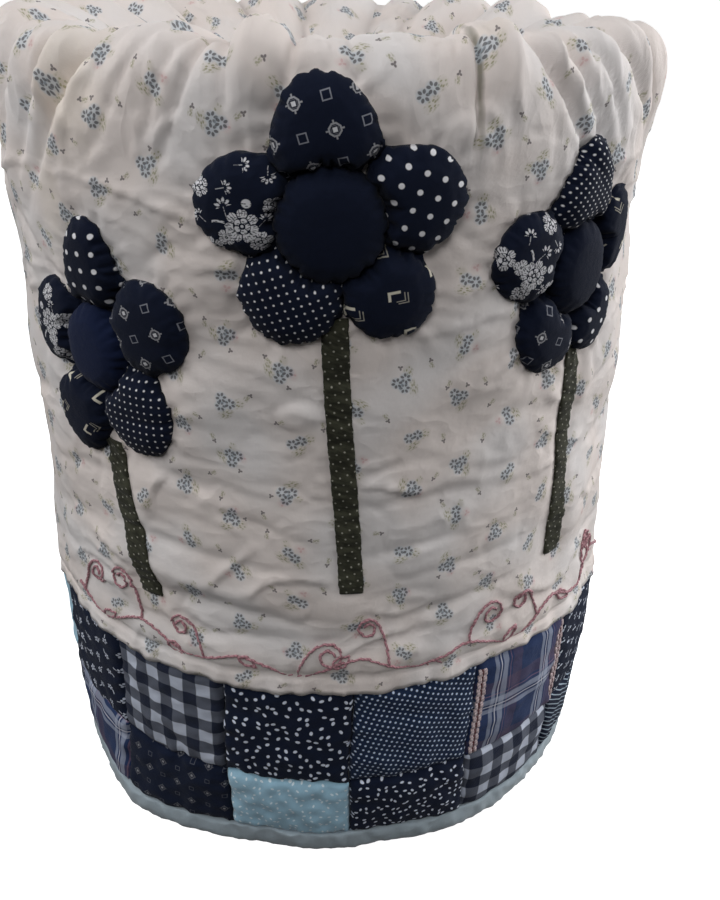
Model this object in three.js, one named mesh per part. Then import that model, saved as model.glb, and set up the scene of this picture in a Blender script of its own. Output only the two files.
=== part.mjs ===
// A padded cloth cover that is pulled down over a large water jug, like a tea cosy.
// A gathered, quilted white panel carries three stuffed flowers on ribbon stems. A patchwork
// band is sewn under its frilled lower edge, and a bias binding closes the hem.
// Millimetres, +Z up. The origin is on the floor, under the middle of the whole cover.
// An azimuth is in degrees round the cover's axis: 0 faces the front (-Y), positive towards +X.
import * as THREE from 'three';

// ---- Driving sizes ----
const hemRadius = 144; // outside of the cloth at the floor
const coverHeight = 380; // floor to the crest of the rim
const clothThickness = 5; // printed cotton, wadding and backing
const topDiscRadius = 70; // flat middle of the top, which lies on the jug
const topDiscHeight = coverHeight - 23;
const bindingHeight = 12;
const seamHeight = 112.6; // the panel is sewn to the patchwork band here
const pieceGap = 0.4; // air between pieces that are sewn edge to edge
const seatGap = 0.7; // air under a flower or stem, at the corners of the meshes
const flowerSetBack = 3.1; // the flowers stand proud in front, so the axis lies this far behind the middle
const meanRadius = 148; // turns an azimuth into a length along the cloth

// ---- Fineness of the meshes ----
const ringCount = 64; // columns round the cover
const petalSides = 18;
const stemSteps = 12;

// The outer cloth from the hem up the side, over the puffed rim and down to the flat top.
const sideOutline = [
  { radius: hemRadius, height: 0 },
  { radius: 146.2, height: 25 },
  { radius: 147.8, height: 60 },
  { radius: 148.2, height: 115 },
  { radius: 147.2, height: 165 },
  { radius: 145.8, height: 215 },
  { radius: 146.2, height: 265 },
  { radius: 148.8, height: 310 },
  { radius: 150.4, height: 343 },
  { radius: 149.8, height: 361 },
  { radius: 147.6, height: 371 },
  { radius: 143.0, height: 377.5 },
  { radius: 136.0, height: coverHeight },
  { radius: 124.0, height: 378 },
  { radius: 108.0, height: 371 },
  { radius: 90.0, height: 362.5 },
  { radius: topDiscRadius, height: topDiscHeight },
];

// Gathers of the rim. depth is drawn in (negative puffs out), lift raises the crest, and reach is
// how far the fold runs down the side from the crest.
const gathers = [
  { azimuth: -58, width: 7, depth: 6, lift: -2.5, reach: 75 },
  { azimuth: -50, width: 5, depth: -3, lift: 1.5, reach: 60 },
  { azimuth: -41, width: 5, depth: 5, lift: -2, reach: 55 },
  { azimuth: -30, width: 6, depth: -3, lift: 1, reach: 45 },
  { azimuth: -20, width: 6, depth: -2, lift: 3, reach: 40 },
  { azimuth: -13.5, width: 4, depth: 3.5, lift: -2, reach: 32 },
  { azimuth: -8.5, width: 4.5, depth: -1, lift: 6, reach: 14 },
  { azimuth: 12, width: 6, depth: 3, lift: -1, reach: 30 },
  { azimuth: 20, width: 4.5, depth: -2.5, lift: 2, reach: 45 },
  { azimuth: 29, width: 5, depth: 5, lift: -3, reach: 35 },
  { azimuth: 40, width: 6, depth: -2, lift: 1, reach: 28 },
  { azimuth: 51, width: 5, depth: 4, lift: -2, reach: 40 },
  { azimuth: 63, width: 6, depth: -2, lift: 1.5, reach: 60 },
  { azimuth: 77, width: 6, depth: 5, lift: -3, reach: 70 },
  { azimuth: 92, width: 6, depth: -3, lift: 2, reach: 60 },
  { azimuth: 106, width: 6, depth: 6, lift: -3, reach: 75 },
  { azimuth: 121, width: 6, depth: -2, lift: 2, reach: 50 },
  { azimuth: 137, width: 7, depth: 5, lift: -3, reach: 65 },
  { azimuth: 153, width: 6, depth: -3, lift: 1, reach: 60 },
  { azimuth: 169, width: 6, depth: 6, lift: -4, reach: 70 },
  { azimuth: 185, width: 6, depth: -3, lift: 1, reach: 60 },
  { azimuth: 202, width: 7, depth: 5, lift: -3, reach: 75 },
  { azimuth: 218, width: 6, depth: -3, lift: 2, reach: 50 },
  { azimuth: 234, width: 6, depth: 5, lift: -3, reach: 65 },
  { azimuth: 250, width: 6, depth: -2, lift: 2, reach: 60 },
  { azimuth: 265, width: 6, depth: 6, lift: -3, reach: 80 },
  { azimuth: 280, width: 6, depth: -3, lift: 2, reach: 70 },
  { azimuth: 290, width: 5, depth: 5, lift: -3, reach: 80 },
  // The rim sags at both sides.
  { azimuth: 98, width: 27, depth: 0, lift: -8, reach: 60 },
  { azimuth: -82, width: 24, depth: 0, lift: -3, reach: 60 },
];
const rimStart = 368; // lengths up the outline between which a fold has its full depth
const rimEnd = 432;

// Broad dents and swellings of the side. push is outwards.
const swellings = [
  { azimuth: -73, height: 232, spread: 24, tall: 36, push: 4.8 },
  { azimuth: -73, height: 300, spread: 20, tall: 20, push: 2.4 },
  { azimuth: -64, height: 152, spread: 28, tall: 24, push: 2 },
  { azimuth: 72, height: 322, spread: 22, tall: 32, push: -2.8 },
  { azimuth: 72, height: 303, spread: 20, tall: 12, push: -2.2 },
  { azimuth: 70, height: 236, spread: 24, tall: 16, push: 1.8 },
  { azimuth: 74, height: 80, spread: 28, tall: 35, push: 1.6 },
  { azimuth: -41, height: 0, spread: 13, tall: 32, push: 7.5 },
  { azimuth: -12, height: 0, spread: 9, tall: 28, push: -2.4 },
  { azimuth: 11, height: 0, spread: 9, tall: 28, push: -3 },
  { azimuth: 150, height: 210, spread: 34, tall: 60, push: -2.4 },
  { azimuth: 205, height: 130, spread: 30, tall: 45, push: 1.5 },
];

// Flowers. A centre and five petals each, by azimuth and height of their middles; half sizes are
// across and along, and lean turns a petal clockwise in degrees.
const navy = {
  plain: 0x111b35,
  dotted: 0x1a2747,
  foulard: 0x101a33,
  floral: 0x161f3b,
  polka: 0x0f1833,
  diamond: 0x101c36,
};
const flowers = [
  {
    name: 'middle_flower',
    centre: { azimuth: 0, height: 320.5, radius: 20 },
    petals: [
      { name: 'top', azimuth: -0.9, height: 348.5, across: 18.8, along: 18.8, lean: 0, cloth: navy.foulard },
      { name: 'right', azimuth: 11.1, height: 329, across: 19.2, along: 19.4, lean: 0, cloth: navy.polka },
      { name: 'lower_right', azimuth: 8.5, height: 294.2, across: 16.8, along: 17.2, lean: 0, cloth: navy.diamond },
      { name: 'lower_left', azimuth: -5.8, height: 293.2, across: 19.1, along: 18.9, lean: 0, cloth: navy.dotted },
      { name: 'left', azimuth: -11.8, height: 326, across: 17.8, along: 17.8, lean: 0, cloth: navy.floral },
    ],
  },
  {
    name: 'left_flower',
    centre: { azimuth: -41.0, height: 258.4, radius: 18.4 },
    petals: [
      { name: 'top', azimuth: -39.9, height: 293.5, across: 13.6, along: 20.8, lean: 4, cloth: navy.polka },
      { name: 'right', azimuth: -29.3, height: 273.5, across: 18.6, along: 19.2, lean: 0, cloth: navy.foulard },
      { name: 'lower_right', azimuth: -32.7, height: 233.5, across: 18.0, along: 18.6, lean: 0, cloth: navy.dotted },
      { name: 'lower_left', azimuth: -46.0, height: 226.3, across: 15.2, along: 19.0, lean: 0, cloth: navy.diamond },
      { name: 'left', azimuth: -50.8, height: 264.5, across: 16.2, along: 18.6, lean: 0, cloth: navy.floral },
    ],
  },
  {
    name: 'right_flower',
    centre: { azimuth: 42.4, height: 294, radius: 18.8 },
    petals: [
      { name: 'top', azimuth: 41.6, height: 326, across: 13.6, along: 20.4, lean: 12, cloth: navy.dotted },
      { name: 'right', azimuth: 51.2, height: 305, across: 14.6, along: 18.6, lean: 0, cloth: navy.diamond },
      { name: 'lower_right', azimuth: 47.4, height: 272, across: 15.0, along: 17.0, lean: 0, cloth: navy.polka },
      { name: 'lower_left', azimuth: 37.1, height: 270, across: 17.2, along: 17.8, lean: 0, cloth: navy.foulard },
      { name: 'left', azimuth: 31.0, height: 302.8, across: 17.4, along: 17.6, lean: 0, cloth: navy.floral },
    ],
  },
];
const centreGap = 0.9; // a petal stops this far from the flower's centre disc
const petalCrown = 6.8; // height of a stuffed petal over the panel
const centreCrown = 8;
// Section of a stuffed piece from its underside to its crown: reach is the share of the outline
// at that level, rise the share of the crown.
const stuffedSection = [
  { reach: 0.5, rise: 0 },
  { reach: 0.94, rise: 0 },
  { reach: 1.0, rise: 0.34 },
  { reach: 0.78, rise: 0.8 },
  { reach: 0.42, rise: 0.97 },
];

// Ribbon stems, from the lower end to the end under the petals.
const stems = [
  { name: 'middle_stem', width: 10.6, foot: { azimuth: 3.5, height: 161.5 }, head: { azimuth: 0.9, height: 276.5 } },
  { name: 'left_stem', width: 9.6, foot: { azimuth: -32.8, height: 145.3 }, head: { azimuth: -39.9, height: 210.5 } },
  { name: 'right_stem', width: 10.4, foot: { azimuth: 45.5, height: 154.5 }, head: { azimuth: 45.6, height: 252.0 } },
];
const stemThickness = 1.2;

// ---- Finishes ----
const cloth = (colour, roughness = 0.9) => new THREE.MeshStandardMaterial({ color: colour, roughness, metalness: 0 });
const printedCotton = cloth(0xd8d0cb);
const patchworkCotton = cloth(0x26365a);
const bindingCotton = cloth(0x8fa0ad);
const ribbonCotton = cloth(0x46482f);

// ---- The surface of the outer cloth ----
const outline = new THREE.SplineCurve(sideOutline.map((row) => new THREE.Vector2(row.radius, row.height)));
outline.arcLengthDivisions = 600;
const outlineLength = outline.getLength();

const bell = (distance, width) => Math.exp(-((distance / width) ** 2));
const turnBetween = (a, b) => THREE.MathUtils.euclideanModulo(a - b + 180, 360) - 180;

// How strongly a fold shows at a length up the outline: it grows to the rim, and dies on the top.
function foldStrength(length, reach) {
  const rising = THREE.MathUtils.smoothstep(length, rimStart - reach, rimStart + 12);
  const dying = 1 - THREE.MathUtils.smoothstep(length, rimEnd - 30, outlineLength - 2);
  return rising * dying;
}

// A point at an azimuth and a length up the outline, raised over the cloth along its normal.
function clothPoint(azimuth, length, raised = 0) {
  const share = THREE.MathUtils.clamp(length / outlineLength, 0, 1);
  const on = outline.getPointAt(share);
  const along = outline.getTangentAt(share);
  let out = raised;
  let lift = 0;
  for (const fold of gathers) {
    const near = bell(turnBetween(azimuth, fold.azimuth), fold.width) * foldStrength(length, fold.reach);
    out -= fold.depth * near;
    lift += fold.lift * near;
  }
  for (const dent of swellings) {
    out += dent.push * bell(turnBetween(azimuth, dent.azimuth), dent.spread) * bell(length - dent.height, dent.tall);
  }
  // The outward normal of the outline is its tangent turned a quarter clockwise.
  return cylindrical(azimuth, on.x + along.y * out, on.y - along.x * out + lift);
}

function cylindrical(azimuth, radius, height) {
  const turn = THREE.MathUtils.degToRad(azimuth);
  return new THREE.Vector3(radius * Math.sin(turn), -radius * Math.cos(turn), height);
}

// The length up the outline at which the side reaches a height, below the crest.
function lengthAtHeight(height) {
  let low = 0;
  let high = rimStart + 14;
  for (let i = 0; i < 30; i += 1) {
    const middle = (low + high) / 2;
    if (outline.getPointAt(middle / outlineLength).y < height) low = middle;
    else high = middle;
  }
  return low;
}

// ---- Closed meshes ----
function meshOf(name, points, triangles, material) {
  const geometry = new THREE.BufferGeometry();
  geometry.setAttribute('position', new THREE.Float32BufferAttribute(points.flatMap((p) => p.toArray()), 3));
  geometry.setIndex(triangles.flat());
  geometry.computeVertexNormals();
  const mesh = new THREE.Mesh(geometry, material);
  mesh.name = name;
  return mesh;
}

// Joins rings of points, each with the same count, into quads. closed also joins the last to the first.
function ringTriangles(rings, count, closed) {
  const triangles = [];
  const last = closed ? rings : rings - 1;
  for (let i = 0; i < last; i += 1) {
    const lower = i * count;
    const upper = ((i + 1) % rings) * count;
    for (let j = 0; j < count; j += 1) {
      const k = (j + 1) % count;
      triangles.push([lower + j, lower + k, upper + k], [lower + j, upper + k, upper + j]);
    }
  }
  return triangles;
}

// A fan from a ring to a single point; facing says which way it winds.
function fanTriangles(ringStart, count, tip, facing) {
  const triangles = [];
  for (let j = 0; j < count; j += 1) {
    const k = (j + 1) % count;
    triangles.push(facing > 0 ? [ringStart + j, ringStart + k, tip] : [ringStart + k, ringStart + j, tip]);
  }
  return triangles;
}

const azimuthOf = (column) => (360 * column) / ringCount;
const columns = Array.from({ length: ringCount }, (unused, column) => azimuthOf(column));

// ---- Printed panel: lap over the band, side, rim and top, then back down inside ----
const lapDrop = 4.4; // how far the frilled edge hangs below the seam
const lapThickness = 1.6;
const lapWave = 1.8;
const topstitchHeight = seamHeight + 5;
const sideLengths = [140, 165, 190, 215, 240, 265, 290, 310, 328, 344, 358, 369, 378, 387, 399, 415, 435];
const insideLengths = [415, 395, 378, 360, 330, 290, 240, 190, 150];
const halfDisc = topDiscRadius / 2;

function lapPoint(azimuth, height, raised) {
  const turn = THREE.MathUtils.degToRad(azimuth);
  const wave = lapWave * (0.6 * Math.sin(7 * turn) + 0.4 * Math.sin(12 * turn + 1.1));
  const hang = (topstitchHeight - height) / (topstitchHeight - seamHeight + lapDrop);
  const point = clothPoint(azimuth, lengthAtHeight(height), raised);
  point.z += wave * Math.max(0, hang);
  return point;
}

function printedPanel() {
  const lapFoot = seamHeight - lapDrop;
  const rings = [
    (a) => clothPoint(a, lengthAtHeight(seamHeight + pieceGap), -clothThickness),
    (a) => clothPoint(a, lengthAtHeight(seamHeight + pieceGap), pieceGap),
    (a) => lapPoint(a, lapFoot, pieceGap + 0.1),
    (a) => lapPoint(a, lapFoot, pieceGap + lapThickness),
    (a) => clothPoint(a, lengthAtHeight(topstitchHeight), pieceGap),
    ...sideLengths.map((length) => (a) => clothPoint(a, length)),
    (a) => clothPoint(a, outlineLength),
    (a) => cylindrical(a, halfDisc, topDiscHeight),
  ];
  const inside = [
    (a) => cylindrical(a, halfDisc, topDiscHeight - clothThickness),
    (a) => cylindrical(a, topDiscRadius, topDiscHeight - clothThickness),
    ...insideLengths.map((length) => (a) => clothPoint(a, length, -clothThickness)),
  ];
  const points = [...rings, ...inside].flatMap((ring) => columns.map(ring));
  const outerTip = points.length;
  const innerTip = outerTip + 1;
  points.push(cylindrical(0, 0, topDiscHeight), cylindrical(0, 0, topDiscHeight - clothThickness));
  const shift = rings.length * ringCount;
  const outerSide = ringTriangles(rings.length, ringCount, false);
  const innerSide = ringTriangles(inside.length, ringCount, false).map((t) => t.map((v) => v + shift));
  const lastInside = shift + (inside.length - 1) * ringCount;
  const foot = [];
  for (let j = 0; j < ringCount; j += 1) {
    const k = (j + 1) % ringCount;
    foot.push([lastInside + j, lastInside + k, k], [lastInside + j, k, j]);
  }
  const triangles = [
    ...outerSide,
    ...fanTriangles(shift - ringCount, ringCount, outerTip, 1),
    ...innerSide,
    ...fanTriangles(shift, ringCount, innerTip, -1),
    ...foot,
  ];
  return meshOf('printed_panel', points, triangles, printedCotton);
}

// ---- Ring-shaped pieces: a closed section of height and depth below the outer cloth ----
function ringPiece(name, section, material) {
  const points = section.flatMap((row) => columns.map((a) => clothPoint(a, lengthAtHeight(row.height), row.raised)));
  // The height is set again, so that the ends of the ring are level.
  points.forEach((point, index) => {
    point.z = section[Math.floor(index / ringCount)].height;
  });
  return meshOf(name, points, ringTriangles(section.length, ringCount, true), material);
}

// The outer face dips at the seam between the two rows of patches.
const bandFoot = bindingHeight + pieceGap;
const rowSeamHeight = 51;
const bandSection = [
  { height: bandFoot, raised: 0 },
  { height: 31, raised: 0.6 },
  { height: rowSeamHeight, raised: -0.6 },
  { height: 80, raised: 0.6 },
  { height: seamHeight, raised: 0 },
  { height: seamHeight, raised: -clothThickness },
  { height: rowSeamHeight, raised: -clothThickness },
  { height: bandFoot, raised: -clothThickness },
];
const bindingSection = [
  { height: 0, raised: -0.2 },
  { height: 4, raised: 1.2 },
  { height: 8.5, raised: 1.4 },
  { height: bindingHeight, raised: 0.4 },
  { height: bindingHeight, raised: -clothThickness },
  { height: 0, raised: -clothThickness },
];

// ---- Stuffed flower pieces ----
// Each piece is laid out flat first: x along the cloth, y up it, about the flower's centre.
function layOut(piece, origin) {
  const x = THREE.MathUtils.degToRad(turnBetween(piece.azimuth, origin.azimuth)) * meanRadius;
  const y = lengthAtHeight(piece.height) - lengthAtHeight(origin.height);
  return new THREE.Vector2(x, y);
}

// How far a petal's own oval reaches from its middle in a direction.
function ovalReach(petal, direction) {
  const lean = THREE.MathUtils.degToRad(petal.lean);
  const turned = direction.clone().rotateAround(new THREE.Vector2(), lean);
  return 1 / Math.hypot(turned.x / petal.across, turned.y / petal.along);
}

// The reach to the seam line shared with a neighbouring petal, where their ovals would cross.
function reachToNeighbour(petal, neighbour, direction) {
  const apart = neighbour.middle.clone().sub(petal.middle);
  const facing = apart.dot(direction) / apart.length();
  if (facing <= 0.05) return Infinity;
  const size = (petal.across + petal.along) / 2;
  const otherSize = (neighbour.across + neighbour.along) / 2;
  const seam = (apart.lengthSq() + size ** 2 - otherSize ** 2) / (2 * apart.length());
  return (seam - pieceGap / 2) / facing;
}

// The reach to the edge of the centre disc, whose middle is the layout's origin.
function reachToCentre(petal, radius, direction) {
  const half = petal.middle.dot(direction);
  const inside = half ** 2 - petal.middle.lengthSq() + radius ** 2;
  return half < 0 && inside > 0 ? -half - Math.sqrt(inside) : Infinity;
}

function stuffedPiece(name, origin, middle, reachOf, crown, material) {
  const originLength = lengthAtHeight(origin.height);
  const place = (offset, raised) => {
    const azimuth = origin.azimuth + THREE.MathUtils.radToDeg((middle.x + offset.x) / meanRadius);
    return clothPoint(azimuth, originLength + middle.y + offset.y, seatGap + raised);
  };
  const directions = Array.from({ length: petalSides }, (unused, side) => {
    const turn = (2 * Math.PI * side) / petalSides;
    return new THREE.Vector2(Math.cos(turn), Math.sin(turn));
  });
  const edge = directions.map((direction) => direction.clone().multiplyScalar(reachOf(direction)));
  const points = stuffedSection.flatMap((row) => edge.map((e) => place(e.clone().multiplyScalar(row.reach), crown * row.rise)));
  const under = points.length;
  points.push(place(new THREE.Vector2(), 0), place(new THREE.Vector2(), crown));
  const triangles = [
    ...ringTriangles(stuffedSection.length, petalSides, false),
    ...fanTriangles(0, petalSides, under, -1),
    ...fanTriangles(under - petalSides, petalSides, under + 1, 1),
  ];
  return meshOf(name, points, triangles, material);
}

function flower(spec) {
  const group = new THREE.Group();
  const disc = spec.centre;
  const petals = spec.petals.map((petal) => ({ ...petal, middle: layOut(petal, disc) }));
  const middle = new THREE.Vector2();
  group.add(stuffedPiece(`${spec.name}_centre`, disc, middle, () => disc.radius, centreCrown, cloth(navy.plain)));
  petals.forEach((petal) => {
    const neighbours = petals.filter((other) => other !== petal);
    const reachOf = (direction) => Math.min(
      ovalReach(petal, direction),
      reachToCentre(petal, disc.radius + centreGap, direction),
      ...neighbours.map((other) => reachToNeighbour(petal, other, direction)),
    );
    const name = `${spec.name}_petal_${petal.name}`;
    group.add(stuffedPiece(name, disc, petal.middle, reachOf, petalCrown, cloth(petal.cloth)));
  });
  return group;
}

// ---- Ribbon stems ----
function stem(spec) {
  const foot = new THREE.Vector2(spec.foot.azimuth, lengthAtHeight(spec.foot.height));
  const head = new THREE.Vector2(spec.head.azimuth, lengthAtHeight(spec.head.height));
  const half = THREE.MathUtils.radToDeg(spec.width / 2 / meanRadius);
  const corners = [
    { side: -half, raised: seatGap },
    { side: -half, raised: seatGap + stemThickness },
    { side: half, raised: seatGap + stemThickness },
    { side: half, raised: seatGap },
  ];
  const points = [];
  for (let step = 0; step <= stemSteps; step += 1) {
    const at = foot.clone().lerp(head, step / stemSteps);
    points.push(...corners.map((corner) => clothPoint(at.x + corner.side, at.y, corner.raised)));
  }
  const last = stemSteps * corners.length;
  const triangles = [
    ...ringTriangles(stemSteps + 1, corners.length, false),
    [0, 2, 1],
    [0, 3, 2],
    [last, last + 1, last + 2],
    [last, last + 2, last + 3],
  ];
  return meshOf(spec.name, points, triangles, ribbonCotton);
}

// ---- The cover ----
const cover = new THREE.Group();
cover.add(printedPanel());
cover.add(ringPiece('patchwork_band', bandSection, patchworkCotton));
cover.add(ringPiece('hem_binding', bindingSection, bindingCotton));
flowers.forEach((spec) => cover.add(flower(spec)));
stems.forEach((spec) => cover.add(stem(spec)));
cover.position.y = flowerSetBack;

export default cover;
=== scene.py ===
import itertools
import math
import random
from collections import namedtuple

import bpy
import numpy as np
from bpy.props import FloatProperty, FloatVectorProperty, IntProperty, PointerProperty
from mathutils import Matrix, Vector


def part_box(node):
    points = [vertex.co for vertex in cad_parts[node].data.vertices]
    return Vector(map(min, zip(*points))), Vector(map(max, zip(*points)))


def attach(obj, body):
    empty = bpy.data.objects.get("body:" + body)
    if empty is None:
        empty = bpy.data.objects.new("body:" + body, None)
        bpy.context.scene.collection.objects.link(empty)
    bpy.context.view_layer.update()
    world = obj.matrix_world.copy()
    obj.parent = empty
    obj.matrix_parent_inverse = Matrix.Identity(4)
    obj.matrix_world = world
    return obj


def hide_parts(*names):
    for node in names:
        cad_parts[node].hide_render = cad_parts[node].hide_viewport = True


bl_info = {
    "name": "Water Jug Cover",
    "version": (1, 0, 0),
    "blender": (4, 5, 0),
    "location": "View3D > Sidebar > Jug Cover",
    "description": "Builds a padded patchwork jug cover with stuffed flowers around its packed frame",
    "category": "Add Mesh",
}

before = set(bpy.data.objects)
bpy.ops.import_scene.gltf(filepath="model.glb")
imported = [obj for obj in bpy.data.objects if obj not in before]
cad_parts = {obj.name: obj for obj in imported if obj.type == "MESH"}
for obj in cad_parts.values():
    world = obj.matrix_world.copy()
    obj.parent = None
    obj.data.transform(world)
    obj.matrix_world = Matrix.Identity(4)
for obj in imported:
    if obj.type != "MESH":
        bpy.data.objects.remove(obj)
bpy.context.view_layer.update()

# ---- Sizes -----------------------------------------------------------------------------------
# Metres, +Z up; azimuths are degrees round the cover's axis, 0 at the front (-Y) and positive
# towards +X. A length is measured up the cloth from the hem.
MM = 0.001
binding_low, binding_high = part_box("hem_binding")
band_low, band_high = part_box("patchwork_band")
AXIS_Y = (binding_low.y + binding_high.y) / 2
BINDING_TOP = binding_high.z
SEAM_HEIGHT = band_high.z
CLOTH_THICKNESS = 5 * MM
MEAN_RADIUS = 148 * MM
TOP_DISC_RADIUS = 70 * MM
# The frilled edge of the panel laps over the band from the topstitching down to its foot.
LAP_FOOT = SEAM_HEIGHT - 5 * MM
TOPSTITCH_HEIGHT = SEAM_HEIGHT + 5 * MM
ROW_SEAM_HEIGHT = 51 * MM
PATCHES_AROUND = 15
FIRST_PATCH_EDGE = 4.0
PATCH_TURN = 360 / PATCHES_AROUND

Station = namedtuple("Station", "radius height")
# The outer cloth from the hem up the side, over the puffed rim and down to the flat top.
OUTLINE = (
    Station(144.0, 0), Station(146.2, 25), Station(147.8, 60), Station(148.2, 115),
    Station(147.2, 165), Station(145.8, 215), Station(146.2, 265), Station(148.8, 310),
    Station(150.4, 343), Station(149.8, 361), Station(147.6, 371), Station(143.0, 377.5),
    Station(136.0, 380), Station(124.0, 378), Station(108.0, 371), Station(90.0, 362.5),
    Station(70.0, 357),
)

Fold = namedtuple("Fold", "azimuth lean width depth lift reach sharp")
# Folds of the gathered rim. lean is how many degrees the fold drifts for each 100 mm that it runs
# down, width is degrees, depth is millimetres drawn in (negative puffs out), lift is millimetres
# at the crest, reach is millimetres down the side, and sharp goes from a soft wave to a crease.
RIM_FOLDS = tuple(Fold(*row) for row in (
    (-72, 4, 3.0, 4.8, -2.2, 80, 0.7), (-64, 0, 4.0, -3.0, 0.8, 90, 0.0),
    (-57, -8, 1.6, 4.2, -1.8, 66, 0.8), (-51, -14, 3.0, -2.8, 0.4, 70, 0.0),
    (-45.5, -18, 1.2, 3.6, -1.6, 66, 0.8), (-41.5, -22, 2.0, -1.6, 0.0, 60, 0.0),
    (-36.6, -25, 1.8, 7.2, -4.2, 72, 0.8), (-31.6, -26, 1.5, -2.2, 0.2, 52, 0.3),
    (-26.5, -22, 4.0, -2.2, 1.0, 46, 0.0), (-24.2, -24, 0.9, 1.8, 0.0, 50, 0.8),
    (-20.4, -15, 0.7, 2.0, -0.2, 38, 0.8), (-17.2, -14, 0.9, 4.2, -0.6, 40, 0.9),
    (-14.6, 3, 1.0, 4.6, -1.6, 24, 0.9), (-11.0, 0, 2.6, -2.6, 2.8, 20, 0.0),
    (-7.4, 0, 1.8, -1.0, 1.2, 12, 0.0), (-5.4, -2, 0.7, 3.2, -1.6, 12, 0.9),
    (2.6, 3, 0.6, 1.6, -0.6, 9, 0.8), (9.5, 0, 5.0, -1.6, 0.2, 30, 0.0),
    (24.2, 3, 3.2, -3.0, 2.4, 42, 0.0), (29.2, 23, 1.2, 6.0, -2.6, 50, 0.9),
    (31.8, 22, 1.4, -2.4, -0.4, 42, 0.0), (34.6, 22, 0.9, 3.6, -1.2, 50, 0.9),
    (38.0, 20, 1.2, -1.6, 0.4, 44, 0.0), (40.4, 20, 0.8, 2.6, -0.6, 48, 0.9),
    (43.4, 16, 2.0, -1.8, 0.8, 44, 0.0), (48.0, 26, 1.3, 5.0, -2.0, 56, 0.9),
    (53, 12, 2.6, -2.6, 1.2, 50, 0.0), (58.5, 8, 1.4, 4.6, -2.0, 64, 0.9),
    (65, 2, 3.4, -2.2, 1.5, 66, 0.0), (72, 0, 2.6, 4.4, -2.2, 72, 0.7),
    (80, 0, 3.6, -2.6, 1.6, 60, 0.0), (88, 3, 2.4, 4.6, -2.4, 80, 0.7),
    (96, 0, 3.6, -2.4, 2.0, 60, 0.0), (104, -4, 2.8, 5.4, -2.6, 78, 0.6),
    (113, 0, 3.8, -2.2, 1.8, 56, 0.0), (122, 5, 2.4, 4.0, -2.0, 62, 0.7),
    (131, 0, 3.6, -2.4, 1.6, 60, 0.0), (139, -5, 2.8, 5.2, -2.6, 70, 0.6),
    (149, 0, 4.0, -2.6, 1.4, 62, 0.0), (158, 4, 2.4, 3.8, -2.2, 58, 0.7),
    (168, 0, 3.0, 5.6, -3.4, 74, 0.6), (178, 0, 3.8, -2.8, 1.6, 60, 0.0),
    (187, -4, 2.4, 4.0, -2.0, 56, 0.7), (196, 0, 3.8, -2.2, 1.6, 60, 0.0),
    (204, 5, 2.8, 5.0, -2.6, 76, 0.6), (214, 0, 3.8, -2.6, 2.0, 52, 0.0),
    (223, -5, 2.4, 4.4, -2.4, 60, 0.7), (232, 0, 3.6, -2.2, 1.4, 60, 0.0),
    (240, 4, 2.8, 5.0, -2.6, 70, 0.6), (249, 0, 3.8, -2.4, 2.0, 60, 0.0),
    (258, -4, 2.6, 4.6, -2.4, 76, 0.7), (267, 0, 3.4, -2.4, 1.6, 66, 0.0),
    (275, 3, 2.8, 5.4, -2.6, 84, 0.6), (283, 0, 3.4, -2.6, 1.6, 72, 0.0),
))
# The lengths at which the folds near their full depth and begin to die away again, and at which
# their azimuth is told.
RIM_START, RIM_END, FOLD_ORIGIN = 368 * MM, 402 * MM, 385 * MM
# The azimuth of the tuck of the panel's join at the same length, and its lean in degrees a metre.
TUCK_AZIMUTH, TUCK_LEAN = 20.2, 21

Crease = namedtuple("Crease", "azimuth height turn rise depth width")
# Slack wrinkles of the side. turn is the half length in degrees, rise the height gained over it,
# and width the half width, in millimetres. A negative depth is a ridge.
SIDE_CREASES = tuple(Crease(*row) for row in (
    (-27, 234, 13, 1, 1.0, 3.4), (-8, 212, 8, -3, 0.9, 2.2), (-25, 209, 19, -3, 1.3, 3.6),
    (-12, 193, 9, -6, 1.2, 2.6), (-27, 176, 22, -4, 1.9, 4.2), (-26, 160, 24, -7, -1.8, 6.5),
    (-21, 150, 20, -2, 1.8, 3.6), (-14, 136, 14, 3, 1.2, 3.0), (-30, 132, 11, -1, 1.1, 3.2),
    (12, 222, 8, 4, 0.9, 2.4), (16, 206, 12, 2, 1.5, 2.6), (19, 194, 16, 4, -1.0, 5.0),
    (16, 183, 13, 4, 1.3, 2.8), (23, 170, 17, 5, 1.5, 3.6), (12, 160, 8, 2, 1.0, 2.2),
    (22, 150, 18, 7, 1.8, 3.6), (14, 137, 10, 4, 1.2, 2.8), (33, 236, 9, -4, 1.0, 2.8),
    (33, 215, 8, 3, 1.0, 2.6), (36, 134, 10, 3, 1.2, 3.2), (-50, 196, 12, 6, 1.5, 3.6),
    (-52, 170, 13, 3, 1.7, 4.0), (-60, 300, 9, -12, 1.6, 4.0), (-64, 222, 12, 8, 1.5, 3.6),
    (-56, 146, 12, 3, 1.4, 3.6), (60, 238, 13, 6, 1.5, 3.4), (62, 205, 12, 3, 1.5, 3.4),
    (60, 176, 13, 4, 1.5, 3.8), (66, 148, 14, -3, 1.3, 3.6), (-25, 306, 6, 9, 1.1, 3.0),
    (-22, 268, 6, -4, 0.9, 2.6), (22, 266, 5, 6, 1.0, 2.8), (24, 300, 5, -8, 1.0, 3.0),
    (100, 250, 20, 8, 1.6, 7), (96, 180, 18, -5, 1.5, 7), (140, 215, 22, 6, 1.8, 8),
    (165, 160, 20, -8, 1.6, 7), (190, 260, 20, 9, 1.6, 8), (215, 200, 22, -6, 1.7, 7),
    (235, 150, 18, 5, 1.5, 7), (252, 235, 18, -7, 1.6, 7), (272, 175, 18, 6, 1.5, 7),
))

Swelling = namedtuple("Swelling", "azimuth height spread tall push")
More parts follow.
